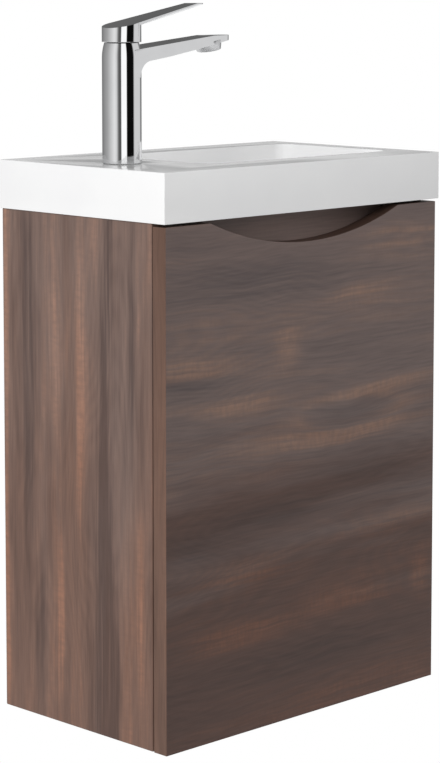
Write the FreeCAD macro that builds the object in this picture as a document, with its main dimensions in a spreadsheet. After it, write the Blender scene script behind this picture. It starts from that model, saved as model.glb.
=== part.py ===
"""Wall-hung cloakroom vanity unit: a one-door cabinet, a slab basin and a single-lever mixer tap.

Frame: millimetres, +X to the right of someone facing the unit, +Y into the wall, +Z up.
The origin is on the wall plane, midway between the two wall screws.
"""
import FreeCAD, Part
import os
import re
import Sketcher

doc = FreeCAD.newDocument("VanityUnit")
sheet = doc.addObject("Spreadsheet::Sheet", "Sizes")

SIZES = [
    # Cabinet
    ("cab_width", 400, "outside width of the cabinet and of the door"),
    ("cab_height", 525, "height of the side panels"),
    ("carcass_depth", 225.5, "wall to the front edges of the side panels"),
    ("board", 16, "thickness of the carcass boards"),
    ("fixing_drop", 80, "carcass top down to the wall screws"),
    ("fixing_spacing", 260, "distance between the wall screws"),
    ("fixing_radius", 4, "hole for a wall screw"),
    ("hanging_rail_height", 110, "rear rail that takes the wall screws"),
    ("lower_rail_height", 70, "rear rail on the bottom panel"),
    ("front_rail_thick", 10, "rail behind the finger scoop"),
    ("front_rail_height", 75, "rail behind the finger scoop"),
    ("finger_pocket", 15, "door back to the front rail"),
    ("dowel_radius", 3, "beech dowels of the carcass"),
    ("dowel_length", 30, "beech dowels of the carcass"),
    ("dowel_in_side", 10, "dowel depth in a side panel"),
    ("dowel_edge", 25, "dowel distance from a rail's edge"),
    ("dowel_inset", 50, "dowel distance from the bottom panel's ends"),
    # Door
    ("door_thick", 18, "door board"),
    ("door_gap", 1.5, "carcass front to door back"),
    ("door_top_gap", 3, "basin underside to door top"),
    ("scoop_chord", 278, "width of the finger scoop at the door top"),
    ("scoop_drop", 28, "depth of the finger scoop at its middle"),
    ("bumper_radius", 5, "door bumper"),
    ("bumper_inset", 30, "bumper distance from the door's ends"),
    ("bumper_clear", 0.1, "bumper face to carcass edge"),
    # Concealed hinges
    ("hinge_inset", 95, "lower hinge above the door's lower edge"),
    ("hinge_rail_gap", 5, "front rail to the upper hinge's plate"),
    ("cup_edge", 20.5, "cup centre from the door's outer edge"),
    ("cup_radius", 17.5, "hinge cup outside"),
    ("cup_wall", 1.5, "hinge cup wall"),
    ("cup_depth", 12, "hinge cup depth in the door"),
    ("flange_thick", 1, "cup flange let into the door"),
    ("flange_width", 22, "cup flange across the door"),
    ("flange_height", 60, "cup flange up the door"),
    ("flange_offset", 4.5, "flange centre inward of the cup centre"),
    ("cup_screw_spacing", 48, "distance between the cup screws"),
    ("cup_screw_radius", 1.8, "cup screw shank"),
    ("cup_screw_head", 3.2, "cup screw head radius"),
    ("cup_screw_length", 11, "cup screw below its head"),
    ("pin_radius", 1.5, "hinge pivot pins"),
    ("pin_seat", 0.6, "pivot pin in the cup's wall"),
    ("pin_clear", 0.05, "running clearance of a pivot pin"),
    ("arm_pivot_in", 30, "arm pivot inward of the cabinet's outer face"),
    ("arm_pivot_out", 6, "arm pivot forward of the carcass front"),
    ("cup_pivot_in", 11, "cup pivot inward of the door's outer edge"),
    ("cup_pivot_out", 4.5, "cup pivot forward of the carcass front"),
    ("link_thick", 6, "hinge link, along the pins"),
    ("link_width", 4.4, "hinge link between its eyes"),
    ("link_eye", 3, "eye radius of a hinge link"),
    ("ear_gap", 0.3, "link to each ear of the arm"),
    ("ear_thick", 2.5, "each ear of the arm"),
    ("arm_nose", 3.5, "radius of the arm round its pivot"),
    ("arm_back", 72, "rear end of the arm behind the carcass front"),
    ("crank_back", 22, "start of the arm's crank behind the carcass front"),
    ("crank_front", 8, "end of the arm's crank behind the carcass front"),
    ("ear_root", 2, "root of the arm's ears behind the carcass front"),
    ("arm_depth", 5.5, "arm height above its plate"),
    ("plate_thick", 2.5, "hinge mounting plate"),
    ("plate_length", 36, "hinge mounting plate, front to back"),
    ("plate_height", 48, "hinge mounting plate, up the side panel"),
    ("plate_setback", 37, "plate screws behind the carcass front"),
    ("plate_screw_spacing", 32, "distance between the plate screws"),
    ("plate_screw_radius", 2.2, "plate screw shank"),
    ("plate_screw_head", 4, "plate screw head radius"),
    ("plate_screw_cap", 2, "plate screw head height"),
    ("plate_screw_length", 12, "plate screw in the side panel"),
    # Basin
    ("basin_overhang", 3, "basin past the cabinet at each side"),
    ("basin_front", 2, "basin past the door's face"),
    ("basin_thick", 50, "height of the basin's edge"),
    ("basin_wall", 12, "skirt thickness"),
    ("basin_deck", 12, "deck thickness"),
    ("basin_round", 2.5, "rounding of the basin's edges"),
    ("bowl_left", 111, "tap deck width"),
    ("bowl_right", 25, "right rim width"),
    ("bowl_front", 45, "front rim width"),
    ("bowl_back", 38, "back rim width"),
    ("bowl_depth", 88, "rim to bowl floor"),
    ("bowl_draft", 22, "how far each bowl wall leans in"),
    ("bowl_wall", 9, "bowl wall and floor"),
    ("bowl_corner", 24, "rounding of the bowl's upright corners"),
    ("bowl_floor_round", 14, "rounding round the bowl floor"),
    # Waste and trap
    ("waste_tail_radius", 20.9, "threaded tail of the waste"),
    ("waste_bore", 17.5, "bore of the waste"),
    ("waste_hole_clear", 1.6, "tail to the hole in the basin"),
    ("waste_flange_radius", 32, "waste flange in the bowl"),
    ("waste_flange_thick", 3, "waste flange in the bowl"),
    ("waste_seal_thick", 1.5, "seal under the flange"),
    ("waste_tail_drop", 45, "tail below the bowl's underside"),
    ("washer_thick", 3, "rubber washers of the waste and trap"),
    ("backnut_radius", 30, "waste backnut across its corners"),
    ("backnut_height", 10, "waste backnut"),
    ("hub_radius", 8.5, "plug guide in the waste"),
    ("hub_drop", 13, "plug guide below the flange"),
    ("hub_height", 14, "plug guide"),
    ("spider_thick", 3, "ribs that carry the plug guide"),
    ("plug_radius", 31, "plug cap"),
    ("plug_thick", 4, "plug cap"),
    ("plug_lift", 7, "raised plug above the flange"),
    ("plug_stem", 5, "plug stem radius"),
    ("plug_bevel", 1.5, "sloping edge of the plug cap"),
    ("plug_stem_length", 42, "plug stem"),
    ("plug_seal_thick", 0.7, "seal under the plug"),
    ("plug_seal_width", 6, "seal under the plug"),
    ("trap_nut_radius", 27, "trap inlet nut"),
    ("trap_nut_grip", 12, "trap nut on the waste tail"),
    ("trap_collar", 4, "collar of the trap inlet"),
    ("trap_lip", 4, "lip of a trap nut"),
    ("trap_tube", 17, "trap inlet and dip tube radius"),
    ("trap_wall", 2, "trap wall"),
    ("trap_neck", 31, "trap inlet tube above the head"),
    ("trap_head_radius", 28, "trap head"),
    ("trap_head_height", 44, "trap head"),
    ("trap_cup_height", 60, "trap cup"),
    ("trap_cup_seal_thick", 1.5, "ring between trap head and cup"),
    ("trap_dip", 38, "dip tube below the head"),
    ("branch_length", 30, "trap outlet past the head"),
    ("branch_wall", 2.5, "trap outlet wall"),
    ("pipe_radius", 16, "outlet pipe"),
    ("pipe_wall", 1.8, "outlet pipe"),
    ("pipe_clear", 0.1, "outlet pipe in its socket"),
    ("pipe_in_branch", 18, "outlet pipe inside its socket"),
    ("pipe_collar_step", 2, "stop collar beyond the pipe"),
    ("pipe_collar", 4, "stop collar on the outlet pipe"),
    ("outlet_nut_radius", 24, "trap outlet nut"),
    ("outlet_nut_grip", 14, "trap outlet nut on the branch"),
    # Tap
    ("tap_inset", 58, "tap axis from the basin's left edge"),
    ("tap_radius", 20, "tap body"),
    ("tap_hole", 17.5, "tap hole in the deck"),
    ("tap_seal_thick", 1.5, "seal under the tap"),
    ("tap_seal_bore", 15, "seal under the tap"),
    ("tap_shoulder", 112, "deck to the shoulder of the tap body"),
    ("tap_chamfer", 1.2, "edge of the tap's shoulder"),
    ("lever_pivot_up", 116, "deck to the lever's pivot"),
    ("dome_radius", 19, "dome under the lever's skirt, about the pivot"),
    ("dome_top", 11, "pivot to the flat of the dome"),
    ("cartridge_radius", 13, "mixing cartridge"),
    ("cartridge_floor", 86, "deck to the underside of the cartridge"),
    ("carrier_radius", 11, "swivelling carrier of the cartridge"),
    ("carrier_clear", 0.05, "running clearance of the carrier"),
    ("carrier_floor", 12, "pivot down to the underside of the carrier"),
    ("carrier_top", 6, "pivot up to the top of the carrier"),
    ("cartridge_nut_thick", 4, "ring that holds the cartridge"),
    ("cartridge_nut_bore", 9.5, "ring that holds the cartridge"),
    ("nut_gap", 0.3, "carrier top to the cartridge ring"),
    ("stem_radius", 4, "lever stem"),
    ("stem_below", 5, "lever stem below the pivot"),
    ("stem_clear", 0.3, "stem in the carrier's slot"),
    ("skirt_gap", 6, "pivot up to the lever's skirt"),
    ("skirt_inner", 18.5, "inside of the lever's skirt"),
    ("skirt_room", 12, "height of the hollow in the skirt"),
    ("skirt_height", 18, "lever's skirt"),
    ("boss_radius", 6, "boss that grips the stem"),
    ("boss_height", 4, "boss below the skirt's ceiling"),
    ("lever_reach", 112, "tap axis to the lever's tip"),
    ("lever_tip_radius", 9, "end of the lever in plan"),
    ("lever_back_low", 135.3, "deck to the lever's underside at the back"),
    ("lever_back_high", 137, "deck to the lever's top at the back"),
    ("lever_root", 25, "tap axis to where the blade leaves the skirt"),
    ("lever_front_low", 139.8, "deck to the underside where the blade leaves the skirt"),
    ("lever_bend", 89.5, "tap axis to the bend of the lever's top"),
    ("lever_bend_high", 160, "deck to the bend of the lever's top"),
    ("lever_tip_high", 160.2, "deck to the lever's tip"),
    ("lever_tip_thick", 1.2, "lever's tip"),
    ("grub_radius", 1.5, "grub screw in the skirt"),
    ("stem_grip", 5, "lever stem above the skirt's ceiling"),
    ("spout_width", 28, "spout"),
    ("spout_reach", 147.5, "tap axis to the spout's upper lip"),
    ("spout_undercut", 2, "how far the spout's end leans back"),
    ("spout_root_top", 116.5, "deck to the spout's top at the body"),
    ("spout_rise_at", 118, "tap axis to the end of the spout's rise"),
    ("spout_top", 127.2, "deck to the spout's top past its rise"),
    ("spout_root_low", 93, "deck to the foot of the root web"),
    ("spout_web", 37, "tap axis to the front of the root web"),
    ("spout_web_low", 103.5, "deck to the underside at the web"),
    ("spout_end_low", 122.4, "deck to the underside at the end"),
    ("spout_round", 2, "rounding of the spout's long edges"),
    ("aerator_out", 123, "tap axis to the aerator"),
    ("aerator_radius", 13.5, "aerator ring"),
    ("aerator_wall", 2, "aerator ring"),
    ("aerator_low", 109.4, "deck to the aerator's underside"),
    ("aerator_height", 12.4, "aerator ring"),
    ("insert_recess", 4.2, "aerator insert above the ring's lower edge"),
    ("insert_height", 5, "aerator insert"),
    ("inlet_radius", 4.5, "threaded inlets under the tap"),
    ("inlet_depth", 22, "threaded inlets under the tap"),
    ("inlet_spacing", 18, "distance between the inlets"),
    ("inlet_front", 4, "inlets in front of the tap axis"),
    ("stud_radius", 4, "fixing stud"),
    ("stud_back", 10, "fixing stud behind the tap axis"),
    ("stud_in_body", 14, "fixing stud in the tap body"),
    ("stud_drop", 55, "fixing stud below the deck's top"),
    ("clamp_radius", 25, "half-round clamp plate under the deck"),
    ("clamp_chord", 4, "clamp plate's straight edge behind the axis"),
    ("clamp_thick", 2.5, "clamp plate"),
    ("stud_clear", 0.3, "stud in the clamp plate"),
    ("stud_nut_radius", 8, "stud nut across its corners"),
    ("stud_nut_height", 9, "stud nut"),
]
NAMES = {alias for alias, value, note in SIZES}
for row, (alias, value, note) in enumerate(SIZES, 1):
    sheet.set("A%d" % row, str(value))
    sheet.setAlias("A%d" % row, alias)
    sheet.set("B%d" % row, note)
doc.recompute()

# Places worked out from the sizes, written in the sheet's own names
PLACES = {
    "carcass_top": "fixing_drop",
    "carcass_bottom": "(fixing_drop - cab_height)",
    "half_width": "(cab_width / 2)",
    "inside_width": "(cab_width - 2 * board)",
    "inside_face": "(cab_width / 2 - board)",
    "carcass_front": "(-carcass_depth)",
    "door_back": "(-carcass_depth - door_gap)",
    "door_front": "(-carcass_depth - door_gap - door_thick)",
    "door_top": "(fixing_drop - door_top_gap)",
    "door_height": "(cab_height - door_top_gap)",
    "scoop_radius": "(scoop_chord * scoop_chord / (8 * scoop_drop) + scoop_drop / 2)",
    "hinge_high": "(fixing_drop - front_rail_height - hinge_rail_gap - plate_height / 2)",
    "hinge_low": "(fixing_drop - cab_height + hinge_inset)",
    "deck_top": "(fixing_drop + basin_thick)",
    "basin_left": "(-cab_width / 2 - basin_overhang)",
    "basin_width": "(cab_width + 2 * basin_overhang)",
    "basin_depth": "(carcass_depth + door_gap + door_thick + basin_front)",
    "bowl_x_low": "(basin_left + bowl_left)",
    "bowl_x_high": "(-basin_left - bowl_right)",
    "bowl_y_low": "(-basin_depth + bowl_front)",
    "bowl_y_high": "(-bowl_back)",
    "bowl_x_mid": "((bowl_x_low + bowl_x_high) / 2)",
    "bowl_y_mid": "((bowl_y_low + bowl_y_high) / 2)",
    "bowl_floor": "(deck_top - bowl_depth)",
    "bowl_underside": "(bowl_floor - bowl_wall)",
    "flange_top": "(bowl_floor + waste_seal_thick + waste_flange_thick)",
    "tail_end": "(bowl_underside - waste_tail_drop)",
    "trap_collar_top": "(tail_end - washer_thick)",
    "trap_nut_low": "(trap_collar_top - trap_collar - trap_lip)",
    "trap_head_top": "(trap_collar_top - trap_collar - trap_neck)",
    "trap_head_low": "(trap_head_top - trap_head_height)",
    "branch_z": "(trap_head_top - trap_head_height / 2)",
    "branch_radius": "(pipe_radius + pipe_clear + branch_wall)",
    "branch_end": "(bowl_y_mid + trap_head_radius + branch_length)",
    "tap_x": "(basin_left + tap_inset)",
    "tap_y": "(-basin_depth / 2)",
    "pivot_z": "(deck_top + lever_pivot_up)",
    "skirt_low": "(pivot_z + skirt_gap)",
    "ear_half": "(link_thick / 2 + ear_gap + ear_thick)",
    "link_run_x": "(arm_pivot_in - cup_pivot_in)",
    "link_run_y": "(arm_pivot_out - cup_pivot_out)",
}


def ex(text):
    """Turn a formula in plain names into one that reads the sheet."""
    def swap(match):
        word = match.group(0)
        if word in PLACES:
            return ex(PLACES[word])
        return "Sizes." + word if word in NAMES else word
    return re.sub(r"[a-z_][a-z_0-9]*", swap, str(text))


def bind(item, **formulas):
    """Tie an object's own sizes to the sheet."""
    for prop, text in formulas.items():
        item.setExpression(prop, ex(text))
    return item


def place(item, x, y, z):
    """Tie an object's position to the sheet."""
    for axis, text in (("x", x), ("y", y), ("z", z)):
        item.setExpression("Placement.Base." + axis, ex(text))
    return item


TURNS = {
    "z": FreeCAD.Rotation(),
    "x": FreeCAD.Rotation(FreeCAD.Vector(0, 1, 0), 90),
    "y": FreeCAD.Rotation(FreeCAD.Vector(1, 0, 0), -90),
}


def box(length, width, height, x, y, z):
    """A block from its lowest corner."""
    item = bind(doc.addObject("Part::Box"), Length=length, Width=width, Height=height)
    return place(item, x, y, z)


def rod(radius, height, x, y, z, axis="z"):
    """A cylinder from the middle of its first end, along a frame axis."""
    item = bind(doc.addObject("Part::Cylinder"), Radius=radius, Height=height)
    item.Placement = FreeCAD.Placement(FreeCAD.Vector(), TURNS[axis])
    return place(item, x, y, z)


def cut(base, *tools):
    """The base less every tool."""
    item = doc.addObject("Part::Cut")
    item.Base = base
    item.Tool = tools[0] if len(tools) == 1 else fuse(*tools)
    return item


def fuse(*pieces):
    """Pieces that overlap, made one."""
    item = doc.addObject("Part::MultiFuse")
    item.Shapes = list(pieces)
    item.Refine = True
    return item


def common(first, second):
    """What two pieces share."""
    item = doc.addObject("Part::MultiCommon")
    item.Shapes = [first, second]
    item.Refine = True
    return item


def group(pieces):
    """Like pieces that stay separate solids."""
    item = doc.addObject("Part::Compound")
    item.Links = list(pieces)
    return item


def ring(outer, inner, height, x, y, z, axis="z"):
    """A plain tube or washer."""
    return cut(rod(outer, height, x, y, z, axis), rod(inner, height, x, y, z, axis))


def profile(name, role, points):
    """A body with a closed outline on one of its origin planes, each corner tied to the sheet."""
    body = doc.addObject("PartDesign::Body", name)
    sketch = body.newObject("Sketcher::SketchObject", name + "_outline")
    plane = next(f for f in body.Origin.OriginFeatures if f.Role == role)
    sketch.AttachmentSupport = [(plane, "")]
    sketch.MapMode = "FlatFace"
    count = len(points)
    for i in range(count):
        sketch.addGeometry(Part.LineSegment(FreeCAD.Vector(i, i * i, 0), FreeCAD.Vector(i + 1, (i + 1) ** 2, 0)))
    for i, (across, up) in enumerate(points):
        sketch.addConstraint(Sketcher.Constraint("Coincident", i, 2, (i + 1) % count, 1))
        for kind, text in (("DistanceX", across), ("DistanceY", up)):
            index = sketch.addConstraint(Sketcher.Constraint(kind, -1, 1, i, 1, float(i + 1)))
            sketch.setExpression("Constraints[%d]" % index, ex(text))
    return body, sketch



PARTS = []


def node(label, item):
    """Name a finished sub-part."""
    item.Label = label
    PARTS.append(item)
    return item


def size(alias):
    """The number in a cell, for edge lists that take no formula."""
    return float(sheet.get(alias))


def rounded(base, radius_of):
    """Round the edges that radius_of gives a radius for."""
    doc.recompute()
    item = doc.addObject("Part::Fillet")
    item.Base = base
    edges = [(i, radius_of(edge)) for i, edge in enumerate(base.Shape.Edges, 1)]
    item.Edges = [(i, radius, radius) for i, radius in edges if radius]
    return item


def hexagon(corner_radius, height, x, y, z):
    """A six-sided blank."""
    item = bind(doc.addObject("Part::Prism"), Circumradius=corner_radius, Height=height)
    return place(item, x, y, z)


# Carcass: six boards joined by dowels along X, the same at both sides
DOWELS = [
    ("carcass_front + dowel_inset", "carcass_bottom + board / 2"),
    ("-board - dowel_inset", "carcass_bottom + board / 2"),
    ("-board / 2", "carcass_top - dowel_edge"),
    ("-board / 2", "carcass_top - hanging_rail_height + dowel_edge"),
    ("-board / 2", "carcass_bottom + board + lower_rail_height / 2"),
    ("door_back + finger_pocket + front_rail_thick / 2", "carcass_top - dowel_edge"),
    ("door_back + finger_pocket + front_rail_thick / 2", "carcass_top - front_rail_height + dowel_edge"),
]
dowel_pieces = []
for y, z in DOWELS:
    dowel_pieces.append(rod("dowel_radius", "dowel_length", "-inside_face - dowel_in_side", y, z, "x"))
    dowel_pieces.append(rod("dowel_radius", "dowel_length", "inside_face + dowel_in_side - dowel_length", y, z, "x"))
dowels = node("carcass_dowels", group(dowel_pieces))

HINGES = ("hinge_high", "hinge_low")
plate_screws = []
for z in HINGES:
    for side in ("-", "+"):
        height = "%s %s plate_screw_spacing / 2" % (z, side)
        shank = rod("plate_screw_radius", "plate_thick + plate_screw_length", "inside_face - plate_thick",
                    "carcass_front + plate_setback", height, "x")
        head = rod("plate_screw_head", "plate_screw_cap", "inside_face - plate_thick - plate_screw_cap",
                   "carcass_front + plate_setback", height, "x")
        plate_screws.append(fuse(shank, head))
screws = node("hinge_plate_screws", group(plate_screws))

left_board = box("board", "carcass_depth", "cab_height", "-half_width", "carcass_front", "carcass_bottom")
node("left_side_panel", cut(left_board, dowels))
right_board = box("board", "carcass_depth", "cab_height", "inside_face", "carcass_front", "carcass_bottom")
node("right_side_panel", cut(cut(right_board, dowels), screws))
bottom_board = box("inside_width", "carcass_depth", "board", "-inside_face", "carcass_front", "carcass_bottom")
node("bottom_panel", cut(bottom_board, dowels))
hanging_board = box("inside_width", "board", "hanging_rail_height", "-inside_face", "-board",
                    "carcass_top - hanging_rail_height")
wall_holes = [rod("fixing_radius", "board", side + "fixing_spacing / 2", "-board", "0", "y") for side in ("-", "")]
node("rear_hanging_rail", cut(cut(hanging_board, *wall_holes), dowels))
lower_board = box("inside_width", "board", "lower_rail_height", "-inside_face", "-board", "carcass_bottom + board")
node("lower_rear_rail", cut(lower_board, dowels))
front_board = box("inside_width", "front_rail_thick", "front_rail_height", "-inside_face",
                  "door_back + finger_pocket", "carcass_top - front_rail_height")
node("front_top_rail", cut(front_board, dowels))

# Concealed hinges: plate and cranked arm on the right side panel, one link, cup in the door
plates, arms, arm_pins, links, cups, cup_pins, cup_blanks, cup_screws = [], [], [], [], [], [], [], []
ARM_X = "half_width - arm_pivot_in"
ARM_Y = "carcass_front - arm_pivot_out"
CUP_X = "half_width - cup_edge"
PIN_X = "half_width - cup_pivot_in"
PIN_Y = "carcass_front - cup_pivot_out"
FLANGE_X = "half_width - cup_edge - flange_offset"
CUP_CHORD = "sqrt((cup_radius - cup_wall)^2 - (cup_edge - cup_pivot_in)^2)"
LINK_TURN = "atan2(link_run_y; link_run_x)"
for z in HINGES:
    plate = box("plate_thick", "plate_length", "plate_height", "inside_face - plate_thick",
                "carcass_front + plate_setback - plate_length / 2", z + " - plate_height / 2")
    plates.append(cut(plate, screws))

    arm, outline = profile("arm", "XY_Plane", [
        ("-board - plate_thick", "arm_back"),
        ("-board - plate_thick - arm_depth", "arm_back"),
        ("-board - plate_thick - arm_depth", "crank_back"),
        ("-arm_pivot_in - arm_nose", "crank_front"),
        ("-arm_pivot_in - arm_nose", "-arm_pivot_out"),
        ("-arm_pivot_in + arm_nose", "-arm_pivot_out"),
        ("-arm_pivot_in + arm_nose", "crank_front / 2"),
        ("-board - plate_thick", "crank_back / 2"),
    ])
    pad = arm.newObject("PartDesign::Pad", "arm_plate")
    pad.Profile = outline
    pad.SideType = "Symmetric"
    bind(pad, Length="2 * ear_half")
    place(arm, "half_width", "carcass_front", z)
    nose = rod("arm_nose", "2 * ear_half", ARM_X, ARM_Y, z + " - ear_half")
    slot = box("4 * arm_nose", "ear_root + arm_pivot_out + 2 * arm_nose", "link_thick + 2 * ear_gap",
               ARM_X + " - 2 * arm_nose", ARM_Y + " - 2 * arm_nose", z + " - link_thick / 2 - ear_gap")
    arm_pin = rod("pin_radius", "2 * ear_half", ARM_X, ARM_Y, z + " - ear_half")
    arm_pins.append(arm_pin)
    arms.append(cut(fuse(arm, nose), slot, arm_pin))

    bar = bind(doc.addObject("Part::Box"), Length="sqrt(link_run_x^2 + link_run_y^2)", Width="link_width",
               Height="link_thick")
    bar.setExpression("Placement.Rotation.Angle", ex(LINK_TURN))
    place(bar, ARM_X + " + sin(%s) * link_width / 2" % LINK_TURN, ARM_Y + " - cos(%s) * link_width / 2" % LINK_TURN,
          z + " - link_thick / 2")
    eyes = [rod("link_eye", "link_thick", x, y, z + " - link_thick / 2") for x, y in ((ARM_X, ARM_Y), (PIN_X, PIN_Y))]
    holes = [rod("pin_radius + pin_clear", "link_thick", x, y, z + " - link_thick / 2")
             for x, y in ((ARM_X, ARM_Y), (PIN_X, PIN_Y))]
    links.append(cut(fuse(bar, *eyes), *holes))

    shell = rod("cup_radius", "cup_depth", CUP_X, "door_back - cup_depth", z, "y")
    flange = box("flange_width", "flange_thick", "flange_height", FLANGE_X + " - flange_width / 2",
                 "door_back - flange_thick", z + " - flange_height / 2")
    blank = fuse(shell, flange)
    cup_blanks.append(blank)
    hollow = rod("cup_radius - cup_wall", "cup_depth - cup_wall", CUP_X, "door_back - cup_depth + cup_wall", z, "y")
    cup_pin = rod("pin_radius", "2 * (%s + pin_seat)" % CUP_CHORD, PIN_X, PIN_Y,
                  "%s - %s - pin_seat" % (z, CUP_CHORD))
    cup_pins.append(cup_pin)
    pair = []
    for side in ("-", "+"):
        height = "%s %s cup_screw_spacing / 2" % (z, side)
        shank = rod("cup_screw_radius", "cup_screw_length", FLANGE_X, "door_back - flange_thick - cup_screw_length",
                    height, "y")
        head = rod("cup_screw_head", "flange_thick", FLANGE_X, "door_back - flange_thick", height, "y")
        pair.append(fuse(shank, head))
    cup_screws += pair
    cups.append(cut(blank, hollow, cup_pin, *pair))
node("hinge_plates", group(plates))
node("hinge_arms", group(arms))
node("hinge_arm_pins", group(arm_pins))
node("hinge_links", group(links))
node("hinge_cups", group(cups))
node("hinge_cup_pins", group(cup_pins))
node("hinge_cup_screws", group(cup_screws))

# Door: one board with an arc scooped out of its top edge as a finger pull
door_board = box("cab_width", "door_thick", "door_height", "-half_width", "door_front", "carcass_bottom")
scoop = rod("scoop_radius", "door_thick", "0", "door_front", "door_top - scoop_drop + scoop_radius", "y")
node("door_panel", cut(cut(door_board, scoop), *(cup_blanks + cup_screws)))
bumpers = [rod("bumper_radius", "door_gap - bumper_clear", "board / 2 - half_width", "door_back", z, "y")
           for z in ("door_top - bumper_inset", "carcass_bottom + bumper_inset")]
node("door_bumpers", group(bumpers))


# Basin: a slab with a hollow underside and a tapering bowl cast in one with it
def tapered(low, high, spread_low, spread_high):
    """A block with leaning walls between two heights, wider or narrower than the bowl's rim by the spreads."""
    item = bind(
        doc.addObject("Part::Wedge"), Ymin=low, Ymax=high,
        Xmin="bowl_x_low - (%s)" % spread_low, Xmax="bowl_x_high + (%s)" % spread_low,
        Zmin="-bowl_y_high - (%s)" % spread_low, Zmax="-bowl_y_low + (%s)" % spread_low,
        X2min="bowl_x_low - (%s)" % spread_high, X2max="bowl_x_high + (%s)" % spread_high,
        Z2min="-bowl_y_high - (%s)" % spread_high, Z2max="-bowl_y_low + (%s)" % spread_high,
    )
    item.Placement = FreeCAD.Placement(FreeCAD.Vector(), FreeCAD.Rotation(FreeCAD.Vector(1, 0, 0), 90))
    return item


def bowl_rounding(extra):
    """Radii for a bowl's upright corners and floor edges, with the given wall added."""
    def radius_of(edge):
        box_of = edge.BoundBox
        if box_of.ZLength > 1:
            return size("bowl_corner") + extra
        floor = size("fixing_drop") + size("basin_thick") - size("bowl_depth")
        return size("bowl_floor_round") + extra if box_of.ZMax < floor + 1 else 0
    return radius_of


slab = rounded(box("basin_width", "basin_depth", "basin_thick", "basin_left", "-basin_depth", "carcass_top"),
               lambda edge: size("basin_round"))
underside = box("basin_width - 2 * basin_wall", "basin_depth - 2 * basin_wall", "basin_thick - basin_deck",
                "basin_left + basin_wall", "-basin_depth + basin_wall", "carcass_top")
bowl_outside = rounded(tapered("bowl_underside", "deck_top - basin_deck / 2", "bowl_wall - bowl_draft",
                               "bowl_wall - bowl_draft * basin_deck / (2 * bowl_depth)"),
                       bowl_rounding(size("bowl_wall")))
bowl_inside = rounded(tapered("bowl_floor", "deck_top", "-bowl_draft", "0"), bowl_rounding(0))
tap_hole = rod("tap_hole", "basin_deck", "tap_x", "tap_y", "deck_top - basin_deck")
waste_hole = rod("waste_tail_radius + waste_hole_clear", "bowl_wall", "bowl_x_mid", "bowl_y_mid", "bowl_underside")
node("basin", cut(fuse(cut(slab, underside), bowl_outside), bowl_inside, tap_hole, waste_hole))

# Waste: flanged tube clamped in the bowl floor, with a push plug guided by a hub on a cross of ribs
AT = ("bowl_x_mid", "bowl_y_mid")
SEAT = "bowl_floor + waste_seal_thick"
HUB_LOW = "flange_top - hub_drop - hub_height"
tube = fuse(rod("waste_flange_radius", "waste_flange_thick", *AT, SEAT),
            rod("waste_tail_radius", "flange_top - tail_end", *AT, "tail_end"))
ribs = [
    box("waste_tail_radius + waste_bore", "spider_thick", "hub_height",
        "bowl_x_mid - (waste_tail_radius + waste_bore) / 2", "bowl_y_mid - spider_thick / 2", HUB_LOW),
    box("spider_thick", "waste_tail_radius + waste_bore", "hub_height", "bowl_x_mid - spider_thick / 2",
        "bowl_y_mid - (waste_tail_radius + waste_bore) / 2", HUB_LOW),
]
open_tube = cut(tube, rod("waste_bore", "flange_top - tail_end", *AT, "tail_end"))
guide = rod("plug_stem + pin_clear", "hub_height", *AT, HUB_LOW)
node("waste_body", cut(fuse(open_tube, rod("hub_radius", "hub_height", *AT, HUB_LOW), *ribs), guide))
node("waste_top_seal", ring("waste_flange_radius", "waste_tail_radius", "waste_seal_thick", *AT, "bowl_floor"))
node("waste_lower_washer", ring("backnut_radius", "waste_tail_radius", "washer_thick", *AT,
                                "bowl_underside - washer_thick"))
NUT_LOW = "bowl_underside - washer_thick - backnut_height"
node("waste_backnut", cut(hexagon("backnut_radius", "backnut_height", *AT, NUT_LOW),
                          rod("waste_tail_radius", "backnut_height", *AT, NUT_LOW)))
PLUG_LOW = "flange_top + plug_lift"
bevel = bind(doc.addObject("Part::Cone"), Radius1="plug_radius", Radius2="plug_radius - 3 * plug_bevel",
             Height="plug_bevel")
place(bevel, *AT, PLUG_LOW + " + plug_thick")
node("waste_plug", fuse(rod("plug_radius", "plug_thick", *AT, PLUG_LOW), bevel,
                        rod("plug_stem", "plug_stem_length", *AT, PLUG_LOW + " - plug_stem_length")))
node("plug_seal", ring("waste_flange_radius - plug_seal_width / 2", "waste_flange_radius - 3 * plug_seal_width / 2",
                       "plug_seal_thick", *AT, PLUG_LOW + " - plug_seal_thick"))

# Bottle trap: inlet nut on the waste tail, head with dip tube, screw-off cup, outlet pipe to the wall
node("trap_washer", ring("waste_tail_radius", "trap_tube - trap_wall", "washer_thick", *AT, "trap_collar_top"))
node("trap_inlet_nut", cut(
    rod("trap_nut_radius", "tail_end + trap_nut_grip - trap_nut_low", *AT, "trap_nut_low"),
    rod("waste_tail_radius", "trap_collar + washer_thick + trap_nut_grip", *AT, "trap_collar_top - trap_collar"),
    rod("trap_tube", "trap_lip", *AT, "trap_nut_low")))
casing = fuse(
    rod("waste_tail_radius", "trap_collar", *AT, "trap_collar_top - trap_collar"),
    rod("trap_tube", "trap_collar + trap_neck", *AT, "trap_head_top"),
    rod("trap_head_radius", "trap_head_height", *AT, "trap_head_low"),
    rod("branch_radius", "trap_head_radius + branch_length", "bowl_x_mid", "bowl_y_mid", "branch_z", "y"))
hollow_casing = cut(
    casing,
    rod("trap_head_radius - trap_wall", "trap_head_height - trap_wall", *AT, "trap_head_low"),
    rod("pipe_radius + pipe_clear", "trap_head_radius + branch_length", "bowl_x_mid", "bowl_y_mid", "branch_z", "y"))
DIP_LOW = "trap_head_low - trap_dip"
dip_tube = rod("trap_tube", "trap_dip + trap_head_height", *AT, DIP_LOW)
through = rod("trap_tube - trap_wall", "trap_collar_top - trap_head_low + trap_dip", *AT, DIP_LOW)
node("trap_body", cut(fuse(hollow_casing, dip_tube), through))
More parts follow.
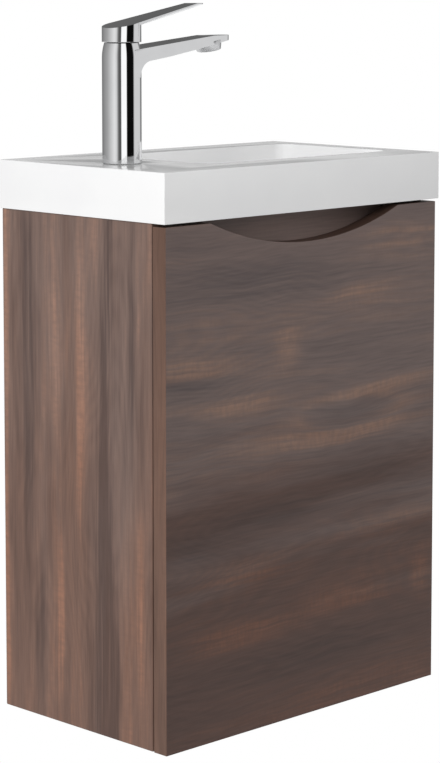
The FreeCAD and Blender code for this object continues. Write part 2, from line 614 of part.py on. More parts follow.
CUP_TOP = "trap_head_low - trap_cup_seal_thick"
CUP_BORE = "trap_head_radius - 2 * trap_wall"
node("trap_cup_seal", ring("trap_head_radius", CUP_BORE, "trap_cup_seal_thick", *AT, CUP_TOP))
node("trap_cup", cut(rod("trap_head_radius", "trap_cup_height", *AT, CUP_TOP + " - trap_cup_height"),
                     rod(CUP_BORE, "trap_cup_height - trap_wall", *AT, CUP_TOP + " - trap_cup_height + trap_wall")))
OUT = ("bowl_x_mid",)
node("trap_outlet_nut", cut(
    rod("outlet_nut_radius", "outlet_nut_grip + trap_lip", *OUT, "branch_end - outlet_nut_grip", "branch_z", "y"),
    rod("branch_radius", "outlet_nut_grip", *OUT, "branch_end - outlet_nut_grip", "branch_z", "y"),
    rod("pipe_radius + pipe_clear", "trap_lip", *OUT, "branch_end", "branch_z", "y")))
pipe = fuse(
    rod("pipe_radius", "pipe_in_branch - branch_end", *OUT, "branch_end - pipe_in_branch", "branch_z", "y"),
    rod("pipe_radius + pipe_collar_step", "pipe_collar", *OUT, "branch_end + trap_lip", "branch_z", "y"))
node("trap_outlet_pipe", cut(pipe, rod("pipe_radius - pipe_wall", "pipe_in_branch - branch_end", *OUT,
                                       "branch_end - pipe_in_branch", "branch_z", "y")))

# Tap body: a column with a dome under the lever, and a flat spout towards the bowl
TAP = ("tap_x", "tap_y")
BASE = "deck_top + tap_seal_thick"
column = rod("tap_radius", "tap_shoulder - tap_chamfer - tap_seal_thick", *TAP, BASE)
shoulder = bind(doc.addObject("Part::Cone"), Radius1="tap_radius", Radius2="tap_radius - tap_chamfer",
                Height="tap_chamfer")
place(shoulder, *TAP, "deck_top + tap_shoulder - tap_chamfer")
dome = bind(doc.addObject("Part::Sphere"), Radius="dome_radius",
            Angle1="-asin((lever_pivot_up - tap_shoulder) / dome_radius)", Angle2="asin(dome_top / dome_radius)")
place(dome, *TAP, "pivot_z")
spout, outline = profile("spout", "XZ_Plane", [
    ("0", "spout_root_low"),
    ("tap_radius - tap_chamfer", "spout_root_low"),
    ("spout_web", "spout_web_low"),
    ("spout_reach - spout_undercut", "spout_end_low"),
    ("spout_reach", "spout_top"),
    ("spout_rise_at", "spout_top"),
    ("tap_radius", "spout_root_top"),
    ("0", "spout_root_top"),
])
pad = spout.newObject("PartDesign::Pad", "spout_bar")
pad.Profile = outline
pad.SideType = "Symmetric"
bind(pad, Length="spout_width")
doc.recompute()
long_edges = []
for i, edge in enumerate(pad.Shape.Edges, 1):
    span = edge.BoundBox
    if span.YLength < 0.01 and span.XMin > size("tap_radius") - size("tap_chamfer") - 0.01:
        long_edges.append("Edge%d" % i)
easing = spout.newObject("PartDesign::Fillet", "spout_easing")
easing.Base = (pad, long_edges)
bind(easing, Radius="spout_round")
place(spout, *TAP, "deck_top")
inlets = [rod("inlet_radius", "inlet_depth", "tap_x %s inlet_spacing / 2" % side, "tap_y - inlet_front", BASE)
          for side in ("-", "+")]
node("tap_body", cut(
    fuse(column, shoulder, dome, spout),
    rod("cartridge_radius", "lever_pivot_up + dome_top - cartridge_floor", *TAP, "deck_top + cartridge_floor"),
    rod("stud_radius", "stud_in_body", "tap_x", "tap_y + stud_back", BASE),
    rod("aerator_radius", "aerator_height", "tap_x + aerator_out", "tap_y", "deck_top + aerator_low"),
    *inlets))
node("tap_base_seal", ring("tap_radius", "tap_seal_bore", "tap_seal_thick", *TAP, "deck_top"))
AIR = ("tap_x + aerator_out", "tap_y")
node("aerator_housing", ring("aerator_radius", "aerator_radius - aerator_wall", "aerator_height", *AIR,
                             "deck_top + aerator_low"))
node("aerator_insert", rod("aerator_radius - aerator_wall", "insert_height", *AIR,
                           "deck_top + aerator_low + insert_recess"))

# Tap fixing under the deck: stud, half-round rubber washer and clamp plate, nut
node("tap_stud", rod("stud_radius", "stud_drop + tap_seal_thick + stud_in_body", "tap_x", "tap_y + stud_back",
                     "deck_top - stud_drop"))


def half_round(thick, low):
    """A half disc with a hole for the stud."""
    return cut(rod("clamp_radius", thick, *TAP, low),
               box("2 * clamp_radius", "clamp_radius + clamp_chord", thick, "tap_x - clamp_radius",
                   "tap_y - clamp_radius", low),
               rod("stud_radius + stud_clear", thick, "tap_x", "tap_y + stud_back", low))


node("tap_rubber_washer", half_round("washer_thick", "deck_top - basin_deck - washer_thick"))
node("tap_clamp_plate", half_round("clamp_thick", "deck_top - basin_deck - washer_thick - clamp_thick"))
STUD_NUT = ("tap_x", "tap_y + stud_back", "deck_top - basin_deck - washer_thick - clamp_thick - stud_nut_height")
node("tap_stud_nut", cut(hexagon("stud_nut_radius", "stud_nut_height", *STUD_NUT),
                         rod("stud_radius", "stud_nut_height", *STUD_NUT)))

# Mixing cartridge: fixed housing and ring, a carrier that swivels, a stem that rocks on a cross pin
CARRIER_LOW = "pivot_z - carrier_floor"
node("cartridge_housing", cut(
    rod("cartridge_radius", "lever_pivot_up + carrier_top - cartridge_floor", *TAP, "deck_top + cartridge_floor"),
    rod("carrier_radius + carrier_clear", "carrier_floor + carrier_top + carrier_clear", *TAP,
        CARRIER_LOW + " - carrier_clear")))
node("cartridge_ring", ring("cartridge_radius", "cartridge_nut_bore", "cartridge_nut_thick", *TAP,
                            "pivot_z + carrier_top + nut_gap"))
cross_pin = node("lever_cross_pin", rod("pin_radius", "2 * (carrier_radius - pin_radius)", "tap_x",
                                        "tap_y - carrier_radius + pin_radius", "pivot_z", "y"))
stem_slot = box("2 * carrier_radius", "2 * (stem_radius + stem_clear)", "carrier_top + stem_below + stem_radius",
                "tap_x - carrier_radius", "tap_y - stem_radius - stem_clear", "pivot_z - stem_below - stem_radius")
node("cartridge_carrier", cut(rod("carrier_radius", "carrier_floor + carrier_top", *TAP, CARRIER_LOW),
                              stem_slot, cross_pin))

# Lever: a hollow skirt over the dome and a blade that tapers towards its tip
CEILING = "skirt_low + skirt_room"
stem_blank = rod("stem_radius", "skirt_gap + skirt_room + stem_grip + stem_below", *TAP, "pivot_z - stem_below")
node("lever_stem", cut(stem_blank, rod("pin_radius + pin_clear", "2 * stem_radius", "tap_x", "tap_y - stem_radius",
                                       "pivot_z", "y")))
grub = node("lever_grub_screw", rod("grub_radius", "tap_radius - stem_radius", "tap_x + stem_radius", "tap_y",
                                    CEILING + " + stem_grip / 2", "x"))
blade_side, outline = profile("blade_side", "XZ_Plane", [
    ("-tap_radius", "lever_back_low"),
    ("lever_root", "lever_front_low"),
    ("lever_reach", "lever_tip_high - lever_tip_thick"),
    ("lever_reach", "lever_tip_high"),
    ("lever_bend", "lever_bend_high"),
    ("-tap_radius", "lever_back_high"),
])
pad = blade_side.newObject("PartDesign::Pad", "blade_side_bar")
pad.Profile = outline
pad.SideType = "Symmetric"
bind(pad, Length="2 * tap_radius")
place(blade_side, *TAP, "deck_top")
blade_plan, outline = profile("blade_plan", "XY_Plane", [
    ("0", "-tap_radius"),
    ("lever_reach - lever_tip_radius", "-lever_tip_radius"),
    ("lever_reach - lever_tip_radius", "lever_tip_radius"),
    ("0", "tap_radius"),
])
pad = blade_plan.newObject("PartDesign::Pad", "blade_plan_bar")
pad.Profile = outline
bind(pad, Length="lever_tip_high - lever_back_low")
place(blade_plan, *TAP, "deck_top + lever_back_low")
BLADE_LOW = "deck_top + lever_back_low"
heel = rod("tap_radius", "lever_tip_high - lever_back_low", *TAP, BLADE_LOW)
tip = rod("lever_tip_radius", "lever_tip_high - lever_back_low", "tap_x + lever_reach - lever_tip_radius", "tap_y",
          BLADE_LOW)
blade = common(blade_side, fuse(blade_plan, heel, tip))
skirt = rod("tap_radius", "skirt_height", *TAP, "skirt_low")
shell = cut(fuse(blade, skirt), rod("skirt_inner", "skirt_room", *TAP, "skirt_low"))
boss = rod("boss_radius", "boss_height", *TAP, CEILING + " - boss_height")
node("lever_handle", cut(fuse(shell, boss), stem_blank, grub))

doc.recompute()
for item in doc.Objects:
    if "Invalid" in item.State or "Error" in item.State:
        raise RuntimeError("failed: %s (%s)" % (item.Name, item.Label))
for item in PARTS:
    if item.Shape.isNull() or not item.Shape.isValid() or not item.Shape.Solids:
        raise RuntimeError("no valid solid: " + item.Label)
os.makedirs("parts", exist_ok=True)
for item in PARTS:
    item.Shape.exportStep("parts/%s.step" % item.Label)
print("%d sub-parts written" % len(PARTS))
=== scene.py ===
import math

import bpy
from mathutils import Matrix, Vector


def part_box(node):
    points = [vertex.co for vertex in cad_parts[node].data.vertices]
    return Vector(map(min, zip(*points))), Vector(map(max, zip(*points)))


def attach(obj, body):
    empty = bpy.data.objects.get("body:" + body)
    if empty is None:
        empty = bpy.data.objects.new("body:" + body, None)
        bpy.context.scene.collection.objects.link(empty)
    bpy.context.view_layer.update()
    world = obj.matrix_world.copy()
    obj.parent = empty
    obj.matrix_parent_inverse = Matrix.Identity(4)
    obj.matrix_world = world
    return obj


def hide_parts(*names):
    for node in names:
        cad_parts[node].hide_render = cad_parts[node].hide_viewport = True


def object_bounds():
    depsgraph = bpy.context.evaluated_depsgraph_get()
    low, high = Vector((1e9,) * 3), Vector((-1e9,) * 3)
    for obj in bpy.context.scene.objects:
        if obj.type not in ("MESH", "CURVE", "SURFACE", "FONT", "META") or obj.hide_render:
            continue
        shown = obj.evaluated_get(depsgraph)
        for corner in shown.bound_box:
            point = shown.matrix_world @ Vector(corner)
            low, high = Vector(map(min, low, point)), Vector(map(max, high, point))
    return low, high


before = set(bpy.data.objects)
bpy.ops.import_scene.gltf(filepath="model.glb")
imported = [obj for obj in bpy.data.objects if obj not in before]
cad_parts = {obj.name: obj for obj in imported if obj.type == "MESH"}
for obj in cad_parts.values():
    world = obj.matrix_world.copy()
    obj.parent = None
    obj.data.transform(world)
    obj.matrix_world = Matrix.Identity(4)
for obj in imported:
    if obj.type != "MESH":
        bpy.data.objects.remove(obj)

cad_low, cad_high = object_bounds()


# Side panels: two upright boards of chipboard faced with dark walnut laminate, the grain running up them.
# They are sawn to size, edged with thin tape and dowelled to the other boards.
SIDE_EASING = 0.0013
RING_COUNT = 280
LINE_GAIN = 1.6


def block(name, low, high):
    """A cube stretched between two corners, with its place in its mesh."""
    low, high = Vector(low), Vector(high)
    bpy.ops.object.select_all(action="DESELECT")
    bpy.ops.mesh.primitive_cube_add(size=1, location=(low + high) / 2, scale=high - low)
    bpy.ops.object.transform_apply(location=True, rotation=True, scale=True)
    piece = bpy.context.object
    piece.name = name
    return piece


def apply_modifier(piece, kind, **settings):
    """Add a modifier to a piece and apply it."""
    bpy.ops.object.select_all(action="DESELECT")
    piece.select_set(True)
    bpy.context.view_layer.objects.active = piece
    modifier = piece.modifiers.new(kind.lower(), kind)
    for key, value in settings.items():
        setattr(modifier, key, value)
    bpy.ops.object.modifier_apply(modifier=modifier.name)


def ease(piece, width, segments=3, degrees=35, smooth=35):
    """Round every sharp edge of a piece and smooth the shading across the rounding."""
    apply_modifier(piece, "BEVEL", width=width, segments=segments, limit_method="ANGLE",
                   angle_limit=math.radians(degrees))
    bpy.ops.object.shade_smooth_by_angle(angle=math.radians(smooth))


def flatten(piece):
    """Keep the shading of large flat faces flat beside their rounded edges."""
    apply_modifier(piece, "WEIGHTED_NORMAL", weight=100, keep_sharp=True)


def finish(piece, material, body, slot, *nodes):
    """Give a made piece its material and body, and let it stand for its nodes."""
    piece.data.materials.clear()
    piece.data.materials.append(material)
    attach(piece, body)
    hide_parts(*nodes)


def shader(name):
    """A new material: its node tree and its surface shader."""
    material = bpy.data.materials.new(name)
    material.use_nodes = True
    return material, material.node_tree, material.node_tree.nodes["Principled BSDF"]


def plug_in(tree, socket, value):
    """Put a number, a vector or another node's output into a socket."""
    if hasattr(value, "is_linked"):
        tree.links.new(value, socket)
    else:
        socket.default_value = value


def calc(tree, operation, *values):
    """One arithmetic step."""
    step = tree.nodes.new("ShaderNodeMath")
    step.operation = operation
    for socket, value in zip(step.inputs, values):
        plug_in(tree, socket, value)
    return step.outputs[0]


def noise(tree, x, y, z, detail=2.0):
    """Soft noise at a point whose three coordinates are given."""
    point = tree.nodes.new("ShaderNodeCombineXYZ")
    for socket, value in zip(point.inputs, (x, y, z)):
        plug_in(tree, socket, value)
    texture = tree.nodes.new("ShaderNodeTexNoise")
    texture.inputs["Scale"].default_value = 1
    texture.inputs["Detail"].default_value = detail
    tree.links.new(point.outputs[0], texture.inputs["Vector"])
    return texture.outputs["Fac"]


def ramp(tree, value, *stops):
    """Colours or greys along a value."""
    band = tree.nodes.new("ShaderNodeValToRGB")
    while len(band.color_ramp.elements) < len(stops):
        band.color_ramp.elements.new(1)
    for element, (position, colour) in zip(band.color_ramp.elements, stops):
        element.position = position
        element.color = (*colour, 1) if isinstance(colour, tuple) else (colour, colour, colour, 1)
    tree.links.new(value, band.inputs[0])
    return band.outputs[0]


def blended(tree, kind, amount, first, second):
    """Two colours mixed, multiplied or laid over each other."""
    mix = tree.nodes.new("ShaderNodeMix")
    mix.data_type = "RGBA"
    mix.blend_type = kind
    plug_in(tree, mix.inputs[0], amount)
    plug_in(tree, mix.inputs[6], first)
    plug_in(tree, mix.inputs[7], second)
    return mix.outputs[2]


def roughen(tree, surface, height, strength, distance):
    """A shallow relief from a height value."""
    bump = tree.nodes.new("ShaderNodeBump")
    bump.inputs["Strength"].default_value = strength
    bump.inputs["Distance"].default_value = distance
    tree.links.new(height, bump.inputs["Height"])
    tree.links.new(bump.outputs[0], surface.inputs["Normal"])


def laminate(name, along, across, tones, tints, seed, sway, swing=(2.6, 2.0, 0.08), streaks=(), eyes=(),
             tone_by_height=(0, 0)):
    """Wood-grain laminate printed in a cool and a warm tone, tinted by shadow and by gold.
    Its bands wander by the sway, and its fine lines break up the bands and the listed streaks.
    A streak is its middle along and across the grain, its half lengths and its strength, below 0 for shadow.
    An eye, which the grain runs round, is the same with the grain's lift last.
    Swing is how strongly the bands, the strands and the growth rings tint the wood.
    Tone by height is how much warmer the wood grows with height, and the height at which that is centred.
    Below 0 the wood grows warmer and darker lower down; on the door that is partly its own colour and partly
    painted shade."""
    material, tree, surface = shader(name)
    place = tree.nodes.new("ShaderNodeTexCoord").outputs["Object"]
    parts = tree.nodes.new("ShaderNodeSeparateXYZ")
    tree.links.new(place, parts.inputs[0])
    run, width = parts.outputs[along], parts.outputs[across]

    def grain(along_scale, across_scale, shift, detail=3):
        """One layer of the grain, by its changes per metre along and across it and its shift of the seed."""
        point = calc(tree, "MULTIPLY", run, along_scale), calc(tree, "MULTIPLY", level, across_scale)
        return noise(tree, *point, seed + shift, detail)

    drift = noise(tree, calc(tree, "MULTIPLY", run, 5), calc(tree, "MULTIPLY", width, 8), seed, 3)
    level = calc(tree, "MULTIPLY_ADD", calc(tree, "SUBTRACT", drift, 0.5), sway, width)

    def bump_at(run_at, width_at, half_run, half_width):
        """A soft oval spot, full at its middle and fading outwards."""
        spot = tree.nodes.new("ShaderNodeCombineXYZ")
        sides = ((run, run_at, half_run), (level, width_at, half_width))
        for socket, (value, middle, half) in zip(spot.inputs, sides):
            tree.links.new(calc(tree, "DIVIDE", calc(tree, "SUBTRACT", value, middle), half), socket)
        near = tree.nodes.new("ShaderNodeVectorMath")
        near.operation = "DOT_PRODUCT"
        tree.links.new(spot.outputs[0], near.inputs[0])
        tree.links.new(spot.outputs[0], near.inputs[1])
        return calc(tree, "POWER", 1 / math.e, near.outputs["Value"])

    knots = 0.0
    for *spot, lift in eyes:
        near = bump_at(*spot)
        rim = ramp(tree, near, (0.1, 0.5), (0.35, 0.85), (0.55, 0.45), (0.95, 0.0))
        knots = calc(tree, "ADD", calc(tree, "SUBTRACT", rim, 0.5), knots)
        level = calc(tree, "MULTIPLY_ADD", near, lift, level)
    bands = grain(2.2, 24, 7)
    blush = grain(1.8, 17, 4)
    strands = grain(6, 80, 3, 6)
    fibre = grain(26, 480, 5)
    ripple = grain(220, 70, 9)
    lines = ramp(tree, grain(2.5, 190, 21, 2), (0.36, 0.3), (0.62, 1.0))
    rings = calc(tree, "SINE", calc(tree, "MULTIPLY", grain(1.3, 7, 13, 2), RING_COUNT))

    cool, warm, shade, gold = [(*colour, 1) for colour in (*tones, *tints)]
    # Lower down the wood turns to its warm tone. On the door this darkening is partly the wood's own colour
    # and partly painted shade, for the light falling off towards the bottom.
    above = calc(tree, "SUBTRACT", parts.outputs["Z"], tone_by_height[1])
    blush = calc(tree, "MULTIPLY_ADD", above, tone_by_height[0], blush)
    wood = blended(tree, "MIX", ramp(tree, blush, (0.36, 0.0), (0.64, 1.0)), cool, warm)
    figure = calc(tree, "MULTIPLY_ADD", calc(tree, "SUBTRACT", bands, 0.5), swing[0], knots)
    for *spot, strength in streaks:
        figure = calc(tree, "MULTIPLY_ADD", bump_at(*spot), strength, figure)
    figure = calc(tree, "MULTIPLY", figure, calc(tree, "MULTIPLY", lines, LINE_GAIN))
    figure = calc(tree, "MULTIPLY_ADD", calc(tree, "SUBTRACT", strands, 0.5), swing[1], figure)
    figure = calc(tree, "MULTIPLY_ADD", rings, swing[2], figure)
    shadow = ramp(tree, calc(tree, "MULTIPLY", figure, -1.0), (0.0, 0.0), (0.9, 1.0))
    wood = blended(tree, "MULTIPLY", shadow, wood, shade)
    flame = calc(tree, "MULTIPLY", ramp(tree, figure, (0.0, 0.0), (1.0, 1.0)),
                 ramp(tree, ripple, (0.35, 0.6), (0.62, 1.0)))
    wood = blended(tree, "MULTIPLY", flame, wood, gold)
    wood = blended(tree, "MULTIPLY", 1.0, wood, ramp(tree, fibre, (0.3, 0.9), (0.7, 1.08)))
    tree.links.new(wood, surface.inputs["Base Color"])
    tree.links.new(ramp(tree, fibre, (0.3, 0.52), (0.7, 0.42)), surface.inputs["Roughness"])
    surface.inputs["Specular IOR Level"].default_value = 0.3
    roughen(tree, surface, fibre, 0.1, 0.0002)
    return material


SIDE_TONES = ((0.17, 0.113, 0.094), (0.15, 0.085, 0.063))
SIDE_TINTS = ((0.54, 0.53, 0.55), (1.82, 1.58, 1.38))
# The side laminate turns warmer and darker towards the bottom.
SIDE_TONE_BY_HEIGHT = (-0.7, -0.18)
SIDE_STREAKS = (
    (-0.11, -0.12, 0.16, 0.008, 0.95), (-0.34, -0.088, 0.08, 0.007, 0.8), (-0.31, -0.208, 0.1, 0.006, 0.7),
    (-0.06, -0.082, 0.12, 0.014, 0.4), (-0.2, -0.004, 0.5, 0.003, 0.9), (0.05, -0.19, 0.1, 0.012, 0.5),
    (-0.1, -0.041, 0.18, 0.011, -0.9), (-0.2, -0.156, 0.35, 0.014, -1.1), (-0.02, -0.195, 0.12, 0.007, -0.8),
    (-0.41, -0.172, 0.08, 0.004, -1.1), (-0.36, -0.06, 0.09, 0.012, -0.8),
)
side_laminate = laminate("walnut_laminate_upright", "Z", "Y", SIDE_TONES, SIDE_TINTS, 2.0, 0.007,
                         streaks=SIDE_STREAKS, tone_by_height=SIDE_TONE_BY_HEIGHT)
for side in ("left", "right"):
    panel = block(side + "_side_board", *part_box(side + "_side_panel"))
    ease(panel, SIDE_EASING)
    flatten(panel)
    finish(panel, side_laminate, "cabinet", "side_laminate", side + "_side_panel")


# Bottom panel and rails: boards in the same laminate, dowelled between the side panels.
# The upper rear rail carries the wall screws and the lower one squares the carcass.
# The front rail is seen through the finger scoop. Its laminate is printed paler and greyer than the other
# boards: painted light, standing for light that reaches the shaded recess behind the scoop.
PANEL_EASING = 0.0004
MERGE_WITHIN = 1e-6
# Paler, greyer tones and softer tints for the front rail: painted light in the recess behind the scoop.
RAIL_PAINTED_LIGHT_TONES = ((0.276, 0.209, 0.191), (0.258, 0.185, 0.164))
RAIL_TINTS = ((0.8, 0.8, 0.8), (1.15, 1.12, 1.1))
flat_laminate = laminate("walnut_laminate_level", "X", "Y", SIDE_TONES, SIDE_TINTS, 11.0, 0.02)
long_laminate = laminate("walnut_laminate_long", "X", "Z", SIDE_TONES, SIDE_TINTS, 17.0, 0.02)
rail_painted_light_laminate = laminate("walnut_laminate_rail_painted_light", "X", "Z", RAIL_PAINTED_LIGHT_TONES, RAIL_TINTS, 17.0, 0.02)


def softened(name, node, material, body, slot, width):
    """A copy of a construction piece with its sharp edges broken, which stands for it."""
    piece = bpy.data.objects.new(name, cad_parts[node].data.copy())
    bpy.context.collection.objects.link(piece)
    bpy.ops.object.select_all(action="DESELECT")
    piece.select_set(True)
    bpy.context.view_layer.objects.active = piece
    bpy.ops.object.mode_set(mode="EDIT")
    bpy.ops.mesh.select_all(action="SELECT")
    bpy.ops.mesh.remove_doubles(threshold=MERGE_WITHIN)
    bpy.ops.mesh.dissolve_limited(angle_limit=math.radians(0.5))
    bpy.ops.object.mode_set(mode="OBJECT")
    ease(piece, width, segments=2)
    flatten(piece)
    finish(piece, material, body, slot, node)


softened("bottom_board", "bottom_panel", flat_laminate, "cabinet", "side_laminate", PANEL_EASING)
softened("hanging_rail_board", "rear_hanging_rail", long_laminate, "cabinet", "rail_board", PANEL_EASING)
softened("lower_rail_board", "lower_rear_rail", long_laminate, "cabinet", "rail_board", PANEL_EASING)
softened("front_rail_board", "front_top_rail", rail_painted_light_laminate, "cabinet", "side_laminate", PANEL_EASING)


# Dowels: turned beech pins that join the boards of the carcass.
# They are pressed and glued into blind holes, out of sight in the boards.
BEECH_LATE, BEECH_EARLY = (0.5, 0.35, 0.21), (0.66, 0.5, 0.33)
BEECH_GRAIN = (("X", 40), ("Y", 900), ("Z", 900))


def dress(material, *nodes):
    """Give construction pieces that keep their shape their finish."""
    for name in nodes:
        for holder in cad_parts[name].material_slots:
            holder.material = material


beech, tree, surface = shader("beech_dowel")
place = tree.nodes.new("ShaderNodeTexCoord").outputs["Object"]
parts = tree.nodes.new("ShaderNodeSeparateXYZ")
tree.links.new(place, parts.inputs[0])
grain = noise(tree, *[calc(tree, "MULTIPLY", parts.outputs[axis], scale) for axis, scale in BEECH_GRAIN])
tree.links.new(ramp(tree, grain, (0.3, BEECH_LATE), (0.7, BEECH_EARLY)), surface.inputs["Base Color"])
surface.inputs["Roughness"].default_value = 0.7
dress(beech, "carcass_dowels")


# Hinges: pressed steel plates, cranked arms, links and cups with a satin nickel plate.
# The plates are screwed to the right side panel and the cups are let into the door.
STEEL_EASING = 0.0003


def plated(name, colour, low, high, scale):
    """Plated or bare metal with a fine uneven polish."""
    material, tree, surface = shader(name)
    texture = tree.nodes.new("ShaderNodeTexNoise")
    texture.inputs["Scale"].default_value = scale
    texture.inputs["Detail"].default_value = 3
    tree.links.new(tree.nodes.new("ShaderNodeTexCoord").outputs["Object"], texture.inputs["Vector"])
    tree.links.new(ramp(tree, texture.outputs["Fac"], (0.3, low), (0.7, high)), surface.inputs["Roughness"])
    tint = ramp(tree, texture.outputs["Fac"], (0.2, tuple(0.94 * part for part in colour)), (0.8, colour))
    tree.links.new(tint, surface.inputs["Base Color"])
    surface.inputs["Metallic"].default_value = 1
    return material


nickel = plated("satin_nickel", (0.66, 0.65, 0.63), 0.26, 0.29, 160)
zinc = plated("bright_zinc", (0.7, 0.7, 0.72), 0.3, 0.38, 900)
softened("pressed_plates", "hinge_plates", nickel, "cabinet", "hinge_steel", STEEL_EASING)
softened("pressed_arms", "hinge_arms", nickel, "cabinet", "hinge_steel", STEEL_EASING)
softened("pressed_links", "hinge_links", nickel, "hinge_links", "hinge_steel", STEEL_EASING)
softened("pressed_cups", "hinge_cups", nickel, "door", "hinge_steel", STEEL_EASING)
dress(zinc, "hinge_plate_screws", "hinge_arm_pins", "hinge_cup_pins", "hinge_cup_screws")


# Door: one board in the same laminate with its grain across, its back bored for the hinge cups.
# An arc is sawn from its top edge as a finger pull.
# All its edges are taped, with the tape's grain along the edge. The tape round the scoop is printed far
# darker than the rest: painted shade, for the shade under the basin in the scoop.
DOOR_TONES = ((0.146, 0.106, 0.096), (0.082, 0.044, 0.034))
DOOR_TINTS = ((0.7, 0.73, 0.77), (1.68, 1.42, 1.17))
DOOR_STREAKS = (
    (-0.171, -0.065, 0.06, 0.01, 1.1), (-0.029, -0.055, 0.02, 0.02, 0.9),
    (-0.098, -0.108, 0.055, 0.011, 1.1), (0.03, -0.157, 0.11, 0.009, 1.2),
    (0.12, -0.112, 0.07, 0.007, 0.7), (0.083, -0.012, 0.05, 0.009, 0.8),
    (0.14, 0.036, 0.06, 0.02, 0.4), (-0.088, -0.286, 0.055, 0.011, 0.7),
    (0.122, -0.263, 0.07, 0.011, 0.6), (-0.101, -0.342, 0.06, 0.012, 1.3),
    (0.051, -0.334, 0.06, 0.011, 1.2), (0.18, -0.328, 0.014, 0.02, 1.1),
    (0.0, -0.432, 0.22, 0.014, 0.4), (-0.15, -0.04, 0.1, 0.03, 0.35),
    (-0.167, -0.083, 0.06, 0.007, -0.9), (-0.084, -0.227, 0.09, 0.02, -0.5),
    (-0.165, -0.25, 0.035, 0.011, -0.7), (-0.041, 0.012, 0.12, 0.025, -0.5),
    (-0.01, -0.378, 0.14, 0.015, -0.7), (0.1, -0.208, 0.12, 0.018, -0.4),
)
DOOR_SWING = (1.3, 1.4, 0.1)
# The door turns warmer and darker towards the bottom: partly the wood's own colour, partly painted shade for
# the light falling off lower down.
DOOR_TONE_AND_PAINTED_SHADE = (-1.6, -0.2)
EDGE_TONES = ((0.119, 0.067, 0.049), (0.135, 0.074, 0.052))
# Near-black tones for the tape in the scoop: painted shade.
SCOOP_PAINTED_SHADE_TONES = ((0.068, 0.039, 0.03), (0.062, 0.034, 0.025))
EDGE_TINTS = ((0.68, 0.67, 0.66), (1.35, 1.3, 1.26))
EYE = (0.066, -0.134, 0.08, 0.019, 0.009)
SCOOP_CHORD = 0.278
SCOOP_DROP = 0.028
SCOOP_STEPS = 720
CUP_RADIUS = 0.0175
FLANGE_WIDTH = 0.022
FLANGE_HEIGHT = 0.06
FLANGE_INSET = 0.002
FLANGE_THICK = 0.001
RECESS_ROOM = 0.0002


def drill(radius, length, centre, steps=96, tilt=0):
    """A round cutter, upright or tilted about the X axis."""
    bpy.ops.object.select_all(action="DESELECT")
    bpy.ops.mesh.primitive_cylinder_add(vertices=steps, radius=radius, depth=length, location=centre,
                                        rotation=(tilt, 0, 0))
    return bpy.context.object


def carve(piece, operation, tool):
    """Cut a tool out of a piece or join it to the piece, and throw the tool away."""
    apply_modifier(piece, "BOOLEAN", object=tool, operation=operation, solver="EXACT")
    bpy.data.objects.remove(tool)


door_low, door_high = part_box("door_panel")
door_thick = door_high.y - door_low.y
door = block("door_board", door_low, door_high)
scoop_radius = SCOOP_CHORD ** 2 / (8 * SCOOP_DROP) + SCOOP_DROP / 2
scoop_middle = (0, door_low.y, door_high.z - SCOOP_DROP + scoop_radius)
carve(door, "DIFFERENCE", drill(scoop_radius, 4 * door_thick, scoop_middle, SCOOP_STEPS, math.pi / 2))
ease(door, PANEL_EASING)
hinge_low, hinge_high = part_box("hinge_cups")
cup_deep = hinge_high.y - hinge_low.y + RECESS_ROOM
flange_left = hinge_high.x - 2 * CUP_RADIUS + FLANGE_INSET - RECESS_ROOM
for height in (hinge_low.z + FLANGE_HEIGHT / 2, hinge_high.z - FLANGE_HEIGHT / 2):
    cup_middle = (hinge_high.x - CUP_RADIUS, door_high.y, height)
    cup_cutter = drill(CUP_RADIUS + RECESS_ROOM, 2 * cup_deep, cup_middle, tilt=math.pi / 2)
    carve(door, "DIFFERENCE", cup_cutter)
    half_high = FLANGE_HEIGHT / 2 + RECESS_ROOM
    carve(door, "DIFFERENCE", block(
        "flange_recess", (flange_left, door_high.y - FLANGE_THICK - RECESS_ROOM, height - half_high),
        (flange_left + FLANGE_WIDTH + 2 * RECESS_ROOM, door_high.y + door_thick, height + half_high)))
bpy.ops.object.shade_smooth_by_angle(angle=math.radians(25))
flatten(door)
door_laminate = laminate("walnut_laminate_across", "X", "Z", DOOR_TONES, DOOR_TINTS, 5.0, 0.022, DOOR_SWING,
                         DOOR_STREAKS, (EYE,), DOOR_TONE_AND_PAINTED_SHADE)
scoop_painted_shade_laminate = laminate("walnut_scoop_tape_painted_shade", "X", "Y", SCOOP_PAINTED_SHADE_TONES, EDGE_TINTS, 29.0, 0.008)
edge_laminate = laminate("walnut_edge_tape", "Z", "Y", EDGE_TONES, EDGE_TINTS, 23.0, 0.008)
finish(door, door_laminate, "door", "door_laminate", "door_panel")
door.data.materials.append(edge_laminate)
door.data.materials.append(scoop_painted_shade_laminate)
# Board faces take the laminate, the faces in the scoop the dark painted-shade tape, and all other edges the
# edge tape.
for face in door.data.polygons:
    on_board, in_painted_shade_scoop = abs(face.normal.y) > 0.9, face.normal.z > 0.2
    face.material_index = 0 if on_board else 2 if in_painted_shade_scoop else 1


# Door bumpers: soft pads of clear moulded gel that quieten the door.
# They are stuck to the back of the door, where it meets the left side panel.
def plastic(name, colour, roughness, scale, depth):
    """Moulded plastic or rubber with a fine skin."""
    material, tree, surface = shader(name)
    texture = tree.nodes.new("ShaderNodeTexNoise")
    texture.inputs["Scale"].default_value = scale
    texture.inputs["Detail"].default_value = 4
    tree.links.new(tree.nodes.new("ShaderNodeTexCoord").outputs["Object"], texture.inputs["Vector"])
    shade = ramp(tree, texture.outputs["Fac"], (0.3, tuple(0.93 * part for part in colour)), (0.7, colour))
    tree.links.new(shade, surface.inputs["Base Color"])
    surface.inputs["Roughness"].default_value = roughness
    roughen(tree, surface, texture.outputs["Fac"], 0.15, depth)
    return material


bumper_skin = plastic("bumper_gel", (0.62, 0.62, 0.6), 0.35, 600, 0.0001)
dress(bumper_skin, "door_bumpers")


